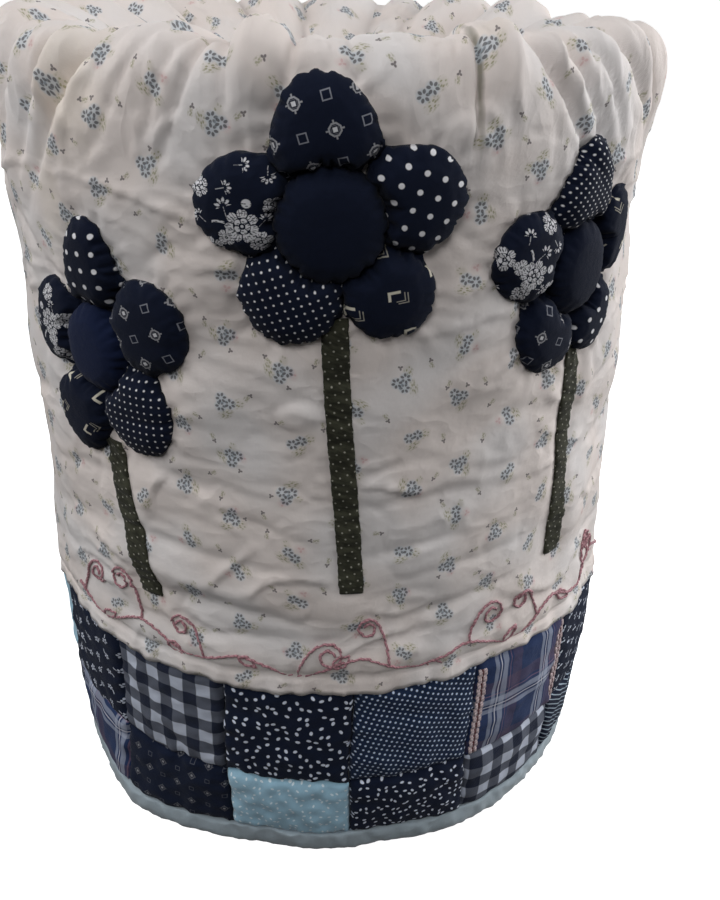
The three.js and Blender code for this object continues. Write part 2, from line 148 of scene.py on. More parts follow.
# Broad places where the side stands out by push, or in, in millimetres; spread is degrees.
SWELLINGS = tuple(Swelling(*row) for row in (
    (-73, 232, 24, 36, 4.8), (-73, 300, 20, 20, 2.4), (-64, 152, 28, 24, 2.0),
    (72, 322, 22, 32, -3.8), (72, 300, 20, 16, -3.2), (70, 236, 24, 16, 1.8), (74, 80, 28, 35, 1.6),
    (-41, 0, 13, 32, 7.5), (-12, 0, 9, 28, -2.4), (11, 0, 9, 28, -3.0), (150, 210, 34, 60, -2.4),
    (205, 130, 30, 45, 1.5),
))

Sag = namedtuple("Sag", "azimuth spread drop")
# Where the whole rim hangs lower, and where the panel's lower edge is drawn up, in millimetres.
RIM_SAGS = (Sag(98, 27, 8.0), Sag(-82, 24, 3.0), Sag(-45, 12, 3.6))
LAP_RISES = (Sag(-62, 22, 6.0), Sag(-22, 14, 1.0), Sag(34, 18, 4.5), Sag(64, 16, 3.0))

FLOWERS = ("middle_flower", "left_flower", "right_flower")
STEMS = ("middle_stem", "left_stem", "right_stem")


# ---- The surface of the outer cloth ----------------------------------------------------------
def traced_outline(steps=120):
    """The outline as a smooth line: lengths along it, radii and heights, in metres."""
    knots = np.array([OUTLINE[0], *OUTLINE, OUTLINE[-1]], float) * MM
    pieces = []
    for i in range(1, len(knots) - 2):
        a, b, c, d = knots[i - 1: i + 3]
        t = np.linspace(0, 1, steps, endpoint=False)[:, None]
        start, end = (c - a) / 2, (d - b) / 2
        bend = (2 * b - 2 * c + start + end) * t**3
        pieces.append(bend + (-3 * b + 3 * c - 2 * start - end) * t**2 + start * t + b)
    line = np.vstack([*pieces, knots[-2:-1]])
    lengths = np.concatenate([[0], np.cumsum(np.linalg.norm(np.diff(line, axis=0), axis=1))])
    return lengths, line[:, 0], line[:, 1]


LENGTHS, RADII, HEIGHTS = traced_outline()
SLOPE_OUT = np.gradient(RADII, LENGTHS)
SLOPE_UP = np.gradient(HEIGHTS, LENGTHS)
OUTLINE_LENGTH = LENGTHS[-1]
CREST_INDEX = int(np.argmax(HEIGHTS))
TOP_HEIGHT = HEIGHTS[-1]


def length_at(height):
    """The length up the outline at which the side reaches a height in metres."""
    return np.interp(height, HEIGHTS[: CREST_INDEX + 1], LENGTHS[: CREST_INDEX + 1])


def smooth(value, low, high):
    """A soft step, from 0 at low to 1 at high."""
    t = np.clip((value - low) / (high - low), 0, 1)
    return t * t * (3 - 2 * t)


def bell(distance, width):
    """1 at no distance, and dying away over width."""
    return np.exp(-((distance / width) ** 2))


def turned(a, b):
    """The turn from azimuth b to a, from -180 to 180."""
    return (a - b + 180) % 360 - 180


def seed_of(name):
    """A number of its own for each name, to draw from."""
    return sum(map(ord, name))


def waves(azimuth, length, count, finest, coarsest, seed, stretch=1.0):
    """Even, seamless unevenness from -1 to 1 or so, with bumps between two sizes in metres, which
    are longer round the cover by stretch."""
    drawn = random.Random(seed)
    total = np.zeros(np.broadcast(azimuth, length).shape)
    for _ in range(count):
        size = math.exp(drawn.uniform(math.log(finest), math.log(coarsest)))
        tilt = drawn.uniform(0, math.pi)
        turns = round(math.cos(tilt) * 2 * math.pi * MEAN_RADIUS / (size * stretch))
        up = math.sin(tilt) * 2 * math.pi / size
        phase = drawn.uniform(0, 2 * math.pi)
        total += np.sin(np.radians(azimuth) * turns + length * up + phase)
    return total / math.sqrt(count)


def fold_profile(offset, width, sharp):
    """1 on the fold's line and 0 away from it; a sharp fold comes to a crease."""
    soft = bell(offset, width)
    if not sharp:
        return soft
    edge = 0.22 * width
    crease = np.exp(-(np.sqrt(offset**2 + edge**2) - edge) / (0.62 * width))
    return (1 - sharp) * soft + sharp * crease


def fine_gathers(count=110):
    """Many small gathers between the big folds of the rim, calmer over the middle flower."""
    drawn = random.Random(41)
    found = []
    for i in range(count):
        azimuth = i * 360 / count + drawn.uniform(-1.4, 1.4)
        calm = 0.5 if -34 < turned(azimuth, 0) < 17 else 1.3
        depth = calm * drawn.uniform(0.35, 1.25) * drawn.choice((1, 1, -0.8))
        reach = calm * drawn.uniform(14, 62)
        found.append(Fold(azimuth, drawn.uniform(-16, 16), drawn.uniform(0.55, 1.2), depth,
                          -0.4 * depth, reach, drawn.choice((0.0, 0.7))))
    return tuple(found)


FINE_GATHERS = fine_gathers()


def unrolled(points):
    """Azimuth and length up the outline of points in the frame, as an N by 3 array."""
    azimuth = np.degrees(np.arctan2(points[:, 0], -(points[:, 1] - AXIS_Y)))
    return azimuth, length_at(points[:, 2])


def node_points(node):
    """The corners of a node of the frame, as an N by 3 array."""
    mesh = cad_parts[node].data
    found = np.empty(len(mesh.vertices) * 3)
    mesh.vertices.foreach_get("co", found)
    return found.reshape(-1, 3)


Outline = namedtuple("Outline", "azimuth length reaches")
DIRECTIONS = np.arange(180) * 2 * math.pi / 180

Form = namedtuple("Form", "tip egg wide tall y", defaults=(0.0, 0.0, 1.0, 1.0, 0.0))
# How a stuffed piece differs from the plain one of the frame: the direction of its narrow end in
# degrees, how much it narrows towards it, its width and height as shares, and its shift upward
# in millimetres.
FORMS = {
    "middle_flower_centre": Form(wide=1.04, tall=1.07, y=-0.8),
    "middle_flower_petal_top": Form(98, 0.08, 0.975, 1.08, 2.0),
    "middle_flower_petal_left": Form(-50, 0.08), "middle_flower_petal_right": Form(140, 0.04),
    "middle_flower_petal_lower_right": Form(-150, 0.05),
    "left_flower_centre": Form(wide=0.93, tall=1.07), "left_flower_petal_top": Form(85, 0.14),
    "left_flower_petal_left": Form(95, 0.10), "left_flower_petal_lower_left": Form(-75, 0.14),
    "left_flower_petal_lower_right": Form(-60, 0.10), "left_flower_petal_right": Form(70, 0.06),
    "right_flower_centre": Form(wide=0.92, tall=1.05), "right_flower_petal_top": Form(85, 0.24),
    "right_flower_petal_right": Form(88, 0.20), "right_flower_petal_lower_right": Form(-85, 0.14),
    "right_flower_petal_lower_left": Form(-95, 0.10), "right_flower_petal_left": Form(-60, 0.05),
}
PLAIN_FORM = Form()


def reach_at(piece, angle):
    """The reach of a stuffed piece from its middle in a direction in radians."""
    steps = np.append(DIRECTIONS, 2 * math.pi)
    return np.interp(np.mod(angle, 2 * math.pi), steps, np.append(piece.reaches, piece.reaches[0]))


def outline_of(node):
    """The flat outline of a stuffed piece: its middle, and its reach in every direction."""
    azimuth, length = unrolled(node_points(node))
    middle_azimuth = (azimuth.min() + azimuth.max()) / 2
    middle_length = (length.min() + length.max()) / 2
    x = np.radians(azimuth - middle_azimuth) * MEAN_RADIUS
    y = length - middle_length
    # The straight-sided hull, from how far the points go in each direction.
    support = (np.cos(DIRECTIONS)[:, None] * x + np.sin(DIRECTIONS)[:, None] * y).max(axis=1)
    facing = np.cos(DIRECTIONS[:, None] - DIRECTIONS[None, :])
    with np.errstate(divide="ignore", invalid="ignore"):
        along = np.where(facing > 0.2, support[None, :] / facing, np.inf)
    reach = along.min(axis=1)
    form = FORMS.get(node, PLAIN_FORM)
    turn = DIRECTIONS - math.radians(form.tip)
    out, side = reach * np.cos(turn), reach * np.sin(turn)
    side = side * (1 - form.egg * out / reach.mean())
    c, s = math.cos(math.radians(form.tip)), math.sin(math.radians(form.tip))
    px, py = (out * c - side * s) * form.wide, (out * s + side * c) * form.tall
    angles = np.mod(np.arctan2(py, px), 2 * math.pi)
    order = np.argsort(angles)
    reach = np.interp(DIRECTIONS, angles[order], np.hypot(px, py)[order], period=2 * math.pi)
    return Outline(middle_azimuth, middle_length + form.y * MM, reach)


def filled(name, mates):
    """A petal whose outline runs on over the hollows beside its neighbours, as far as the line
    where it meets them, and just under the flower's centre."""
    piece = mates[name]
    if name.endswith("centre"):
        return piece
    step = np.arange(4, 34, 0.2)[None, :] * MM
    x, y = step * np.cos(DIRECTIONS)[:, None], step * np.sin(DIRECTIONS)[:, None]
    own = step - piece.reaches[:, None]
    nearest = np.full(own.shape, np.inf)
    met = np.zeros(own.shape, bool)
    for mate_name, mate in mates.items():
        if mate_name == name:
            continue
        dx = x + math.radians(piece.azimuth - mate.azimuth) * MEAN_RADIUS
        dy = y + piece.length - mate.length
        edge = np.hypot(dx, dy) - reach_at(mate, np.arctan2(dy, dx))
        nearest = np.minimum(nearest, edge)
        met |= edge < (-1.0 * MM if mate_name.endswith("centre") else own - 0.1 * MM)
    drawn_in = 3.2 * MM * bell(np.clip(nearest, 0, None), 3.4 * MM)
    outside = met | (own > 0.2 * MM + drawn_in)
    reach = step[0][np.argmax(outside, axis=1)]
    # A little smoothing takes the corners off.
    soft = np.array([0.25, 0.5, 0.25])
    return piece._replace(reaches=np.convolve(np.pad(reach, 1, mode="wrap"), soft, mode="valid"))


def stuffed_pieces():
    """The flat outline of each stuffed piece, by the name of its node."""
    found = {}
    for flower in FLOWERS:
        mates = {n: outline_of(n) for n in sorted(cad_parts) if n.startswith(flower)}
        found.update({n: filled(n, mates) for n in mates})
    return found


STUFFED = stuffed_pieces()
STEM_HALF_WIDTHS = {"middle_stem": 5.3 * MM, "left_stem": 6.0 * MM, "right_stem": 5.2 * MM}


def stem_line(node):
    """The two ends of a ribbon's middle line, as azimuth and length, and its half width."""
    azimuth, length = unrolled(node_points(node))
    ends = []
    for end in (length.min(), length.max()):
        near = np.abs(length - end) < 2 * MM
        ends.append(((azimuth[near].min() + azimuth[near].max()) / 2, end))
    return ends[0], ends[1], STEM_HALF_WIDTHS[node]


STEM_LINES = {n: stem_line(n) for n in STEMS}


def stem_hold(azimuth, length):
    """How firmly the stitching of a stem holds the panel down, from 0 to 1."""
    held = np.zeros(azimuth.shape)
    for foot, head, half in STEM_LINES.values():
        share = np.clip((length - foot[1]) / (head[1] - foot[1]), 0, 1)
        middle = foot[0] + share * (head[0] - foot[0])
        side = np.abs(np.radians(turned(azimuth, middle)) * MEAN_RADIUS) - half
        beyond = np.maximum(foot[1] - length, length - head[1])
        along = bell(np.clip(beyond, 0, None), 3 * MM)
        held = np.maximum(held, bell(np.clip(side, 0, None), 4 * MM) * along)
    return held


def flower_pull(azimuth, length):
    """How the stitching of the flowers draws the panel in, with small puckers."""
    total = np.zeros(azimuth.shape)
    for name, piece in STUFFED.items():
        x = np.radians(turned(azimuth, piece.azimuth)) * MEAN_RADIUS
        y = length - piece.length
        near = np.hypot(x, y)
        angle = np.arctan2(y, x)
        edge = near - reach_at(piece, angle)
        seed = seed_of(name)
        puckers = np.sin(angle * 13 + seed) + 0.7 * np.sin(angle * 21 + 2.3 * seed)
        outside = np.clip(edge, 0, None)
        total -= 1.7 * MM * bell(outside, 5 * MM) * (edge > -6 * MM)
        total += 0.5 * MM * puckers * np.exp(-outside / (8 * MM)) * (edge > 0)
    return total


def tuck(azimuth, length):
    """The upstanding narrow tuck of the panel's join, beside a deep slot."""
    strength = smooth(length, 336 * MM, 354 * MM) * (1 - smooth(length, 398 * MM, 420 * MM))
    drift = azimuth - TUCK_AZIMUTH - (length - FOLD_ORIGIN) * TUCK_LEAN
    ridge = 0.6 * bell(drift + 1.5, 0.6) + 1.2 * bell(drift - 1.5, 0.8)
    slot = 2.6 * (1 - smooth(np.abs(drift), 0.4, 0.68))
    return strength * MM * (ridge - slot)


def seam_puckers(azimuth, length):
    """The topstitched groove over the lap, and the small gathers that the seam draws up."""
    above = length - length_at(TOPSTITCH_HEIGHT)
    groove = 1.5 * bell(above - 7 * MM, 6 * MM) - 1.2 * bell(above, 1.7 * MM)
    ripple = waves(azimuth, 0.0, 26, 9 * MM, 20 * MM, 7) * np.exp(-np.abs(above) / (11 * MM))
    return (groove + 0.75 * ripple) * MM


def crumples(azimuth, length):
    """Short crisp creases and ridges of washed cotton, in broken lines."""
    total = np.zeros(np.broadcast(azimuth, length).shape)
    for seed, finest, coarsest, sharp, deep in ((61, 28, 66, 0.12, -0.95), (67, 22, 50, 0.14, 0.7)):
        field = waves(azimuth, length, 16, finest * MM, coarsest * MM, seed)
        shown = smooth(waves(azimuth, length, 14, 34 * MM, 90 * MM, seed + 1), 0.1, 1.1)
        total += deep * MM * shown * np.exp(-np.abs(field) / sharp)
    return total


def drags(azimuth, length):
    """Slack of the side in long level folds, each soft above and undercut below, that come and
    go; and of the rim in short upright ones."""
    total = np.zeros(np.broadcast(azimuth, length).shape)
    stitched = length_at(TOPSTITCH_HEIGHT)
    side = 1 - smooth(length, 322 * MM, 352 * MM)
    for pitch, deep, seed in ((25, 2.5, 71), (14, 1.1, 83)):
        bend = waves(azimuth, length, 18, 40 * MM, 110 * MM, seed, 2.2)
        phase = length / (pitch * MM) + 0.85 * bend
        above = phase - np.floor(phase)
        shown = smooth(waves(azimuth, length, 14, 30 * MM, 80 * MM, seed + 1, 1.8), -0.1, 1.0)
        total += deep * shown * side * np.exp(-above / 0.28) * smooth(above, 0, 2.2 / pitch)
    for turns, deep, seed in ((58, 2.6, 91), (104, 1.5, 97)):
        bend = waves(azimuth, length, 18, 26 * MM, 80 * MM, seed)
        phase = azimuth / 360 * turns + 0.55 * bend
        beside = phase - np.floor(phase)
        shown = smooth(waves(azimuth, length, 14, 24 * MM, 60 * MM, seed + 1), 0.0, 1.0)
        fold = np.exp(-beside / 0.26) * smooth(beside, 0, 0.14)
        total += deep * shown * (1 - side) * fold
    return total * MM * smooth(length, stitched, stitched + 14 * MM)


def cloth_points(azimuth, length, raised=0.0, calm=False):
    """Points in the frame on the outer cloth, raised along its normal. calm leaves out what the
    finer stitching does, for what lies on the cloth or under it."""
    azimuth, length = np.broadcast_arrays(np.asarray(azimuth, float), np.asarray(length, float))
    out = np.zeros(azimuth.shape) + raised
    lift = np.zeros(azimuth.shape)
    dying = 1 - smooth(length, RIM_END, OUTLINE_LENGTH + 25 * MM)
    for fold in RIM_FOLDS + (() if calm else FINE_GATHERS):
        rising = smooth(length, RIM_START - fold.reach * MM, RIM_START + 12 * MM)
        drift = turned(azimuth, fold.azimuth) + fold.lean * (length - FOLD_ORIGIN) * 10
        shape = fold_profile(drift, fold.width, fold.sharp) * rising * dying
        out -= fold.depth * MM * shape
        lift += fold.lift * MM * shape
    for dent in SWELLINGS:
        near = bell(turned(azimuth, dent.azimuth), dent.spread)
        out += dent.push * MM * near * bell(length - dent.height * MM, dent.tall * MM)
    for sag in RIM_SAGS:
        near = bell(turned(azimuth, sag.azimuth), sag.spread)
        lift -= sag.drop * MM * near * smooth(length, 308 * MM, 380 * MM) * dying
    for crease in SIDE_CREASES:
        along = turned(azimuth, crease.azimuth) / crease.turn
        middle = (crease.height + crease.rise * along - 3 * along**2) * MM
        side = fold_profile((length - middle) / MM, crease.width, 0.6)
        out -= crease.depth * MM * side * bell(along, 0.75)
    if not calm:
        below = 1 - smooth(length, 330 * MM, 380 * MM)
        out += 0.9 * MM * waves(azimuth, length, 34, 34 * MM, 80 * MM, 3)
        out += 0.1 * MM * waves(azimuth, length, 46, 9 * MM, 22 * MM, 5) * (0.6 + 0.4 * below)
        held = stem_hold(azimuth, length)
        slack = crumples(azimuth, length) + drags(azimuth, length)
        slack = slack * (1 - 0.6 * smooth(np.abs(turned(azimuth, 0)), 58, 78))
        out += slack * (1 - 0.75 * held) - 0.9 * MM * held
        out += tuck(azimuth, length) + flower_pull(azimuth, length)
        out += seam_puckers(azimuth, length)
    radius = np.interp(length, LENGTHS, RADII) + np.interp(length, LENGTHS, SLOPE_UP) * out
    height = np.interp(length, LENGTHS, HEIGHTS) - np.interp(length, LENGTHS, SLOPE_OUT) * out
    return around(azimuth, radius, height + lift)


def around(azimuth, radius, height):
    """Points in the frame from places round the cover's axis."""
    turn = np.radians(azimuth)
    x = radius * np.sin(turn)
    y = AXIS_Y - radius * np.cos(turn)
    return np.stack(np.broadcast_arrays(x, y, height), axis=-1)


# ---- Meshes ----------------------------------------------------------------------------------
def quads(rows, columns, wrap_rows=False, wrap_columns=False, start=0):
    """Faces of a grid of points that are stored row by row."""
    i = np.arange(rows if wrap_rows else rows - 1)
    j = np.arange(columns if wrap_columns else columns - 1)
    low, left = np.meshgrid(i, j, indexing="ij")
    high, right = (low + 1) % rows, (left + 1) % columns
    corners = (low * columns + left, low * columns + right, high * columns + right,
               high * columns + left)
    return np.stack(corners, axis=-1).reshape(-1, 4) + start


def fan(ring, tip, facing):
    """Triangles from a closed ring of point numbers to one point."""
    following = np.roll(ring, -1)
    first, second = (ring, following) if facing > 0 else (following, ring)
    return [(int(a), int(b), tip) for a, b in zip(first, second)]


def add_piece(name, points, faces, material, uv, slot, stands_for=()):
    """Makes a mesh piece of the cover that rides on its only body. uv holds one place on the
    flat cloth, in metres, for each point, or for each corner of each face."""
    mesh = bpy.data.meshes.new(name)
    mesh.from_pydata(np.asarray(points).tolist(), [], [tuple(map(int, f)) for f in faces])
    mesh.validate()
    layer = mesh.uv_layers.new(name="cloth")
    corner = np.empty(len(mesh.loops), np.int32)
    mesh.loops.foreach_get("vertex_index", corner)
    flat = np.asarray(uv, np.float32)
    flat = flat[corner] if len(flat) == len(mesh.vertices) else flat
    layer.data.foreach_set("uv", flat.ravel())
    mesh.polygons.foreach_set("use_smooth", [True] * len(mesh.polygons))
    piece = bpy.data.objects.new(name, mesh)
    bpy.context.scene.collection.objects.link(piece)
    mesh.materials.append(material)
    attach(piece, "root")
    if stands_for:
        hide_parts(*stands_for)
    return piece


# ---- Shaders ---------------------------------------------------------------------------------
class Value:
    """A socket that holds a number, so that shader maths reads as Python."""

    def __init__(self, shader, socket):
        self.shader = shader
        self.socket = socket

    def of(self, name):
        """Another output of the same node."""
        return Value(self.shader, self.socket.node.outputs[name])

    def do(self, operation, *others):
        sockets = dict(enumerate((self, *others)))
        return self.shader.node("ShaderNodeMath", {"operation": operation}, sockets)

    def __add__(self, other):
        return self.do("ADD", other)

    __radd__ = __add__

    def __sub__(self, other):
        return self.do("SUBTRACT", other)

    def __rsub__(self, other):
        return self.shader.node("ShaderNodeMath", {"operation": "SUBTRACT"}, {0: other, 1: self})

    def __mul__(self, other):
        return self.do("MULTIPLY", other)

    __rmul__ = __mul__

    def __truediv__(self, other):
        return self.do("DIVIDE", other)

    def __pow__(self, other):
        return self.do("POWER", other)

    def __abs__(self):
        return self.do("ABSOLUTE")

    def __gt__(self, other):
        return self.do("GREATER_THAN", other)

    def least(self, other):
        return self.do("MINIMUM", other)

    def most(self, other):
        return self.do("MAXIMUM", other)

    def clamped(self):
        return self.shader.node(
            "ShaderNodeMath", {"operation": "ADD", "use_clamp": True}, {0: self, 1: 0.0})

    def below(self, edge, blur):
        """1 where this is under the edge and 0 over it, with a soft step."""
        return ((edge - self) / blur + 0.5).clamped()


class Shader:
    """A material whose nodes are added by expressions."""

    def __init__(self, name):
        self.material = bpy.data.materials.new(name)
        self.material.use_nodes = True
        self.tree = self.material.node_tree
        self.tree.nodes.clear()

    def node(self, kind, settings=None, sockets=None, output=0):
        """Adds a node: its settings first, then values or links of its sockets."""
        made = self.tree.nodes.new(kind)
        for key, value in (settings or {}).items():
            setattr(made, key, value)
        for key, value in (sockets or {}).items():
            socket = made.inputs[key]
            if isinstance(value, Value):
                self.tree.links.new(value.socket, socket)
            else:
                socket.default_value = value
        return Value(self, made.outputs[output])

    def mix(self, share, first, second):
        """A colour from first to second by share."""
        def as_colour(c):
            return c if isinstance(c, Value) else (*c, 1.0)[:4]
        return self.node("ShaderNodeMix", {"data_type": "RGBA", "clamp_factor": True},
                         {0: share, 6: as_colour(first), 7: as_colour(second)}, output=2)

    def flat(self):
        """The place on the flat cloth, as two values in millimetres."""
        uv = self.node("ShaderNodeUVMap", {"uv_map": "cloth"})
        parts = self.node("ShaderNodeSeparateXYZ", sockets={0: uv})
        return parts.of("X") / MM, parts.of("Y") / MM

    def join(self, x, y, z=0.0):
        """Three values as one vector."""
        return self.node("ShaderNodeCombineXYZ", sockets={0: x, 1: y, 2: z})

    def noise(self, x, y, size, detail=2.0, layer=0.0):
        """Noise from 0 to 1 whose bumps are about size millimetres."""
        return self.node("ShaderNodeTexNoise", {"noise_dimensions": "3D"},
                         {"Vector": self.join(x / size, y / size, layer), "Scale": 1.0,
                          "Detail": detail, "Roughness": 0.55})

    def rotated(self, x, y, degrees):
        """The coordinates turned by a fixed angle."""
        c, s = math.cos(math.radians(degrees)), math.sin(math.radians(degrees))
        return x * c + y * s, y * c - x * s

    def turned_by(self, x, y, angle):
        """The coordinates turned by an angle that is itself a value, in radians."""
        c, s = angle.do("COSINE"), angle.do("SINE")
        return x * c + y * s, y * c - x * s

    def centred(self, value, pitch):
        """The place from the middle of a repeat."""
        return value - ((value / pitch).do("FLOOR") + 0.5) * pitch

    def distance(self, x, y):
        """How far a place is from the origin."""
        return (x * x + y * y).do("SQRT")

    def voronoi(self, x, y, size, seed=0.0, randomness=1.0):
        """Scattered points about size millimetres apart: the offset from the nearest one in
        millimetres, and three random values of its own."""
        cell = self.node("ShaderNodeTexVoronoi", {"voronoi_dimensions": "2D"},
                         {"Vector": self.join(x / size + seed, y / size + seed), "Scale": 1.0,
                          "Randomness": randomness})
        place = self.node("ShaderNodeSeparateXYZ", sockets={0: cell.of("Position")})
        drawn = self.node("ShaderNodeSeparateColor", sockets={0: cell.of("Color")})
        dx = x - (place.of("X") - seed) * size
        dy = y - (place.of("Y") - seed) * size
        return dx, dy, (drawn.of("Red"), drawn.of("Green"), drawn.of("Blue"))

    def half_drop(self, x, y, across, down, shift=(0.0, 0.0)):
        """A half-drop repeat: the offset from the middle of its cell, and random values."""
        column = ((x - shift[0]) / across).do("FLOOR")
        drop = (column * 0.5).do("FRACT") * down
        row = ((y - shift[1] + drop) / down).do("FLOOR")
        dx = x - shift[0] - (column + 0.5) * across
        dy = y - shift[1] + drop - (row + 0.5) * down
        chance = self.node("ShaderNodeTexWhiteNoise", {"noise_dimensions": "2D"},
                           {"Vector": self.join(column + shift[0], row)}, output="Color")
        drawn = self.node("ShaderNodeSeparateColor", sockets={0: chance})
        return dx, dy, (drawn.of("Red"), drawn.of("Green"), drawn.of("Blue"))

    def oval(self, x, y, long, wide, blur=0.25):
        """1 in an oval of these half sizes, and 0 outside it."""
        return self.distance(x / long, y / wide).below(1.0, blur)

    def line(self, value, half, blur=0.15):
        """1 where a value is within half of zero."""
        return abs(value).below(half, blur)

    def sector(self, x, y, petals):
        """Distances along and across the middle line of the nearest of the rays of a star."""
        turn = y.do("ARCTAN2", x) * (petals / (2 * math.pi))
        share = (turn.do("FRACT") - 0.5) * (2 * math.pi / petals)
        away = self.distance(x, y)
        return away * share.do("COSINE"), away * share.do("SINE")

    def blossom(self, x, y, petals=5, reach=1.5, long=0.85, wide=0.55):
        """A round of small separate petals."""
        out, side = self.sector(x, y, petals)
        return self.oval(out - reach, side, long, wide, 0.4)

    def weave(self, x, y, pitch=0.42):
        """Plain weave: the height of the threads, from 0 to 1."""
        warp = (x * (2 * math.pi / pitch)).do("SINE")
        weft = (y * (2 * math.pi / pitch)).do("SINE")
        return warp * weft * 0.5 + 0.5

    def finish(self, colour, height=None, strength=0.4, depth=0.3, roughness=0.9, sheen=0.25,
               specular=0.2, glow=0.0):
        """Ends the material in one Principled shader."""
        sockets = {"Base Color": colour if isinstance(colour, Value) else (*colour, 1.0),
                   "Roughness": roughness, "Sheen Weight": sheen, "Sheen Roughness": 0.5,
                   "Specular IOR Level": specular, "Emission Color": (1, 1, 1, 1),
                   "Emission Strength": glow}
        if height is not None:
            sockets["Normal"] = self.node(
                "ShaderNodeBump", {}, {"Height": height * depth * MM, "Strength": strength,
                                       "Distance": 1.0})
        surface = self.node("ShaderNodeBsdfPrincipled", {}, sockets)
        end = self.tree.nodes.new("ShaderNodeOutputMaterial")
        self.tree.links.new(surface.socket, end.inputs["Surface"])
        return self.material


# Colours of the printed motifs, and of the band's darker navy.
WHITE_PRINT = (0.80, 0.80, 0.83)
BAND_WHITE = (0.80, 0.86, 1.0)
BAND_NAVY = (0.009, 0.015, 0.037)
CREAM_PRINT = (0.78, 0.74, 0.62)


def tone(shader, colour, x, y, amount=0.12, size=14.0):
    """A colour with the slight unevenness of dyed cotton, and its crossed threads."""
    share = shader.noise(x, y, size, 3.0, 4.2)
    threads = shader.noise(x * 6, y, 2.0, 2.0, 1.7) * 0.5
    threads = threads + shader.noise(x, y * 6, 2.0, 2.0, 8.1) * 0.5
    dark = tuple(c * (1 - amount) for c in colour)
    light = tuple(min(1.0, c * (1 + amount)) for c in colour)
    return shader.mix(share * 0.55 + threads * 0.45, dark, light)


def cotton_height(shader, x, y, crumple=1.0):
    """The height of the weave and of the small crumples of washed cotton."""
    return shader.weave(x, y) * 0.22 + shader.noise(x, y, 3.4, 4.0, 2.6) * crumple


def on_navy(name, settings, pattern):
    """A navy cotton whose print a function adds to its ground. The flowers' cottons have names
    that start with navy; the band's are darker and more crumpled."""
    shader = Shader(name)
    x, y = shader.flat()
    ground = tone(shader, tuple(settings.navy_colour), x, y, 0.22)
    flower = name.startswith("navy")
    if not flower:
        ground = shader.mix(0.8, ground, BAND_NAVY)
    printed = pattern(shader, x, y, ground)
    wrinkles = abs(shader.noise(x, y, 6.0, 2.0, 3.9) - 0.5) * -1.5
    height = cotton_height(shader, x, y, 1.0 if flower else 1.5) + wrinkles
    return shader.finish(printed, height, strength=0.8, sheen=0.05, specular=0.12)


def plain(shader, x, y, ground):
    """No print at all."""
    return ground


def brighter(shader, x, y, ground):
    """A brighter navy without a print."""
    return shader.mix(0.5, ground, (0.010, 0.019, 0.066))


def dots(pitch, radius, tilt=0.0, stagger=True, colour=WHITE_PRINT):
    """A pattern of evenly spaced round dots."""
    def pattern(shader, x, y, ground):
        u, v = shader.rotated(x, y, tilt)
        if stagger:
            u, v = shader.rotated(u, v, 45)
        du, dv = shader.centred(u, pitch), shader.centred(v, pitch)
        return shader.mix(shader.distance(du, dv).below(radius, 0.3), ground, colour)
    return pattern


def polka(shader, x, y, ground):
    """Large dots in straight rows."""
    return dots(6.4, 0.98, -20, False)(shader, x, y, ground)


def foulard(shader, x, y, ground, step=10.3, size=1.0, faint=0.36, strength=0.5, bright=0.78):
    """Small ornate squares that alternate, like the fields of a chessboard, with hollow ones."""
    pitch = step * math.sqrt(2)
    for shift, ornate in ((0.0, True), (pitch / 2, False)):
        u, v = shader.rotated(x, y, 45)
        du, dv = shader.centred(u + shift, pitch), shader.centred(v + shift, pitch)
        du, dv = shader.rotated(du, dv, -45)
        block = abs(du).most(abs(dv))
        if ornate:
            octagon = block.most((abs(du) + abs(dv)) * 0.72)
            ring = shader.line(octagon - 1.85 * size, 0.27 * size)
            spokes = abs(du).least(abs(dv)).below(0.26 * size, 0.25) * shader.line(
                block - 2.45 * size, 0.5 * size)
            thin = shader.line(block - 1.22 * size, 0.1 * size) * 0.4
            mask = (ring.most(spokes).most(thin) * strength).most(block.below(0.72 * size, 0.25))
            ground = shader.mix(mask * bright, ground, WHITE_PRINT)
        else:
            mask = shader.line(block - 1.4 * size, 0.2 * size) * faint
            ground = shader.mix(mask, ground, (0.62, 0.64, 0.72))
    return ground


def small_foulard(shader, x, y, ground):
    """The same squares, smaller and fainter."""
    return foulard(shader, x, y, ground, 8.6, 0.8, 0.16, 0.4, 0.38)


def brackets(shader, x, y, ground):
    """Far apart, a thick cream corner with two thin chevrons that face it."""
    u, v = shader.rotated(x, y, 16)
    u, v = shader.centred(u + 8.25, 16.5), shader.centred(v + 8.25, 16.5)
    u, v = shader.rotated(u, v, -16)
    left, top = u + 3.4, 2.2 - v
    corner = left.least(top)
    arms = shader.line(corner - 0.5, 0.5, 0.2) * left.below(4.5, 0.2) * top.below(3.6, 0.2)
    mask = arms * 0.88
    for far, legs in ((2.4, 3.1), (3.5, 3.6)):
        right, low = far - u, v + far * 0.74
        corner = right.least(low)
        chevron = shader.line(corner, 0.17, 0.2) * right.below(legs, 0.2) * low.below(legs, 0.2)
        mask = mask.most(chevron * 0.5)
    return shader.mix(mask, ground, CREAM_PRINT)


def ruff(shader, x, y, reach, petals, veined):
    """A round of notched petals, with dark lines between them and along them."""
    out, side = shader.sector(x, y, petals)
    half = out * math.tan(math.pi / petals)
    lobe = abs(side / half)
    notch = lobe.below(0.2, 0.3) * (0.08 * reach) if veined else 0.0
    edge = reach - lobe * lobe * (0.34 * reach) - notch
    gaps = (half - abs(side)).below(0.24, 0.16)
    if veined:
        veins = shader.line(abs(side) - half * 0.42, 0.12, 0.14).most(shader.line(side, 0.1, 0.14))
        gaps = gaps.most(veins * (out > 0.6 * reach) * 0.9)
    return shader.distance(x, y).below(edge, 0.2) * (1 - gaps * 0.95)


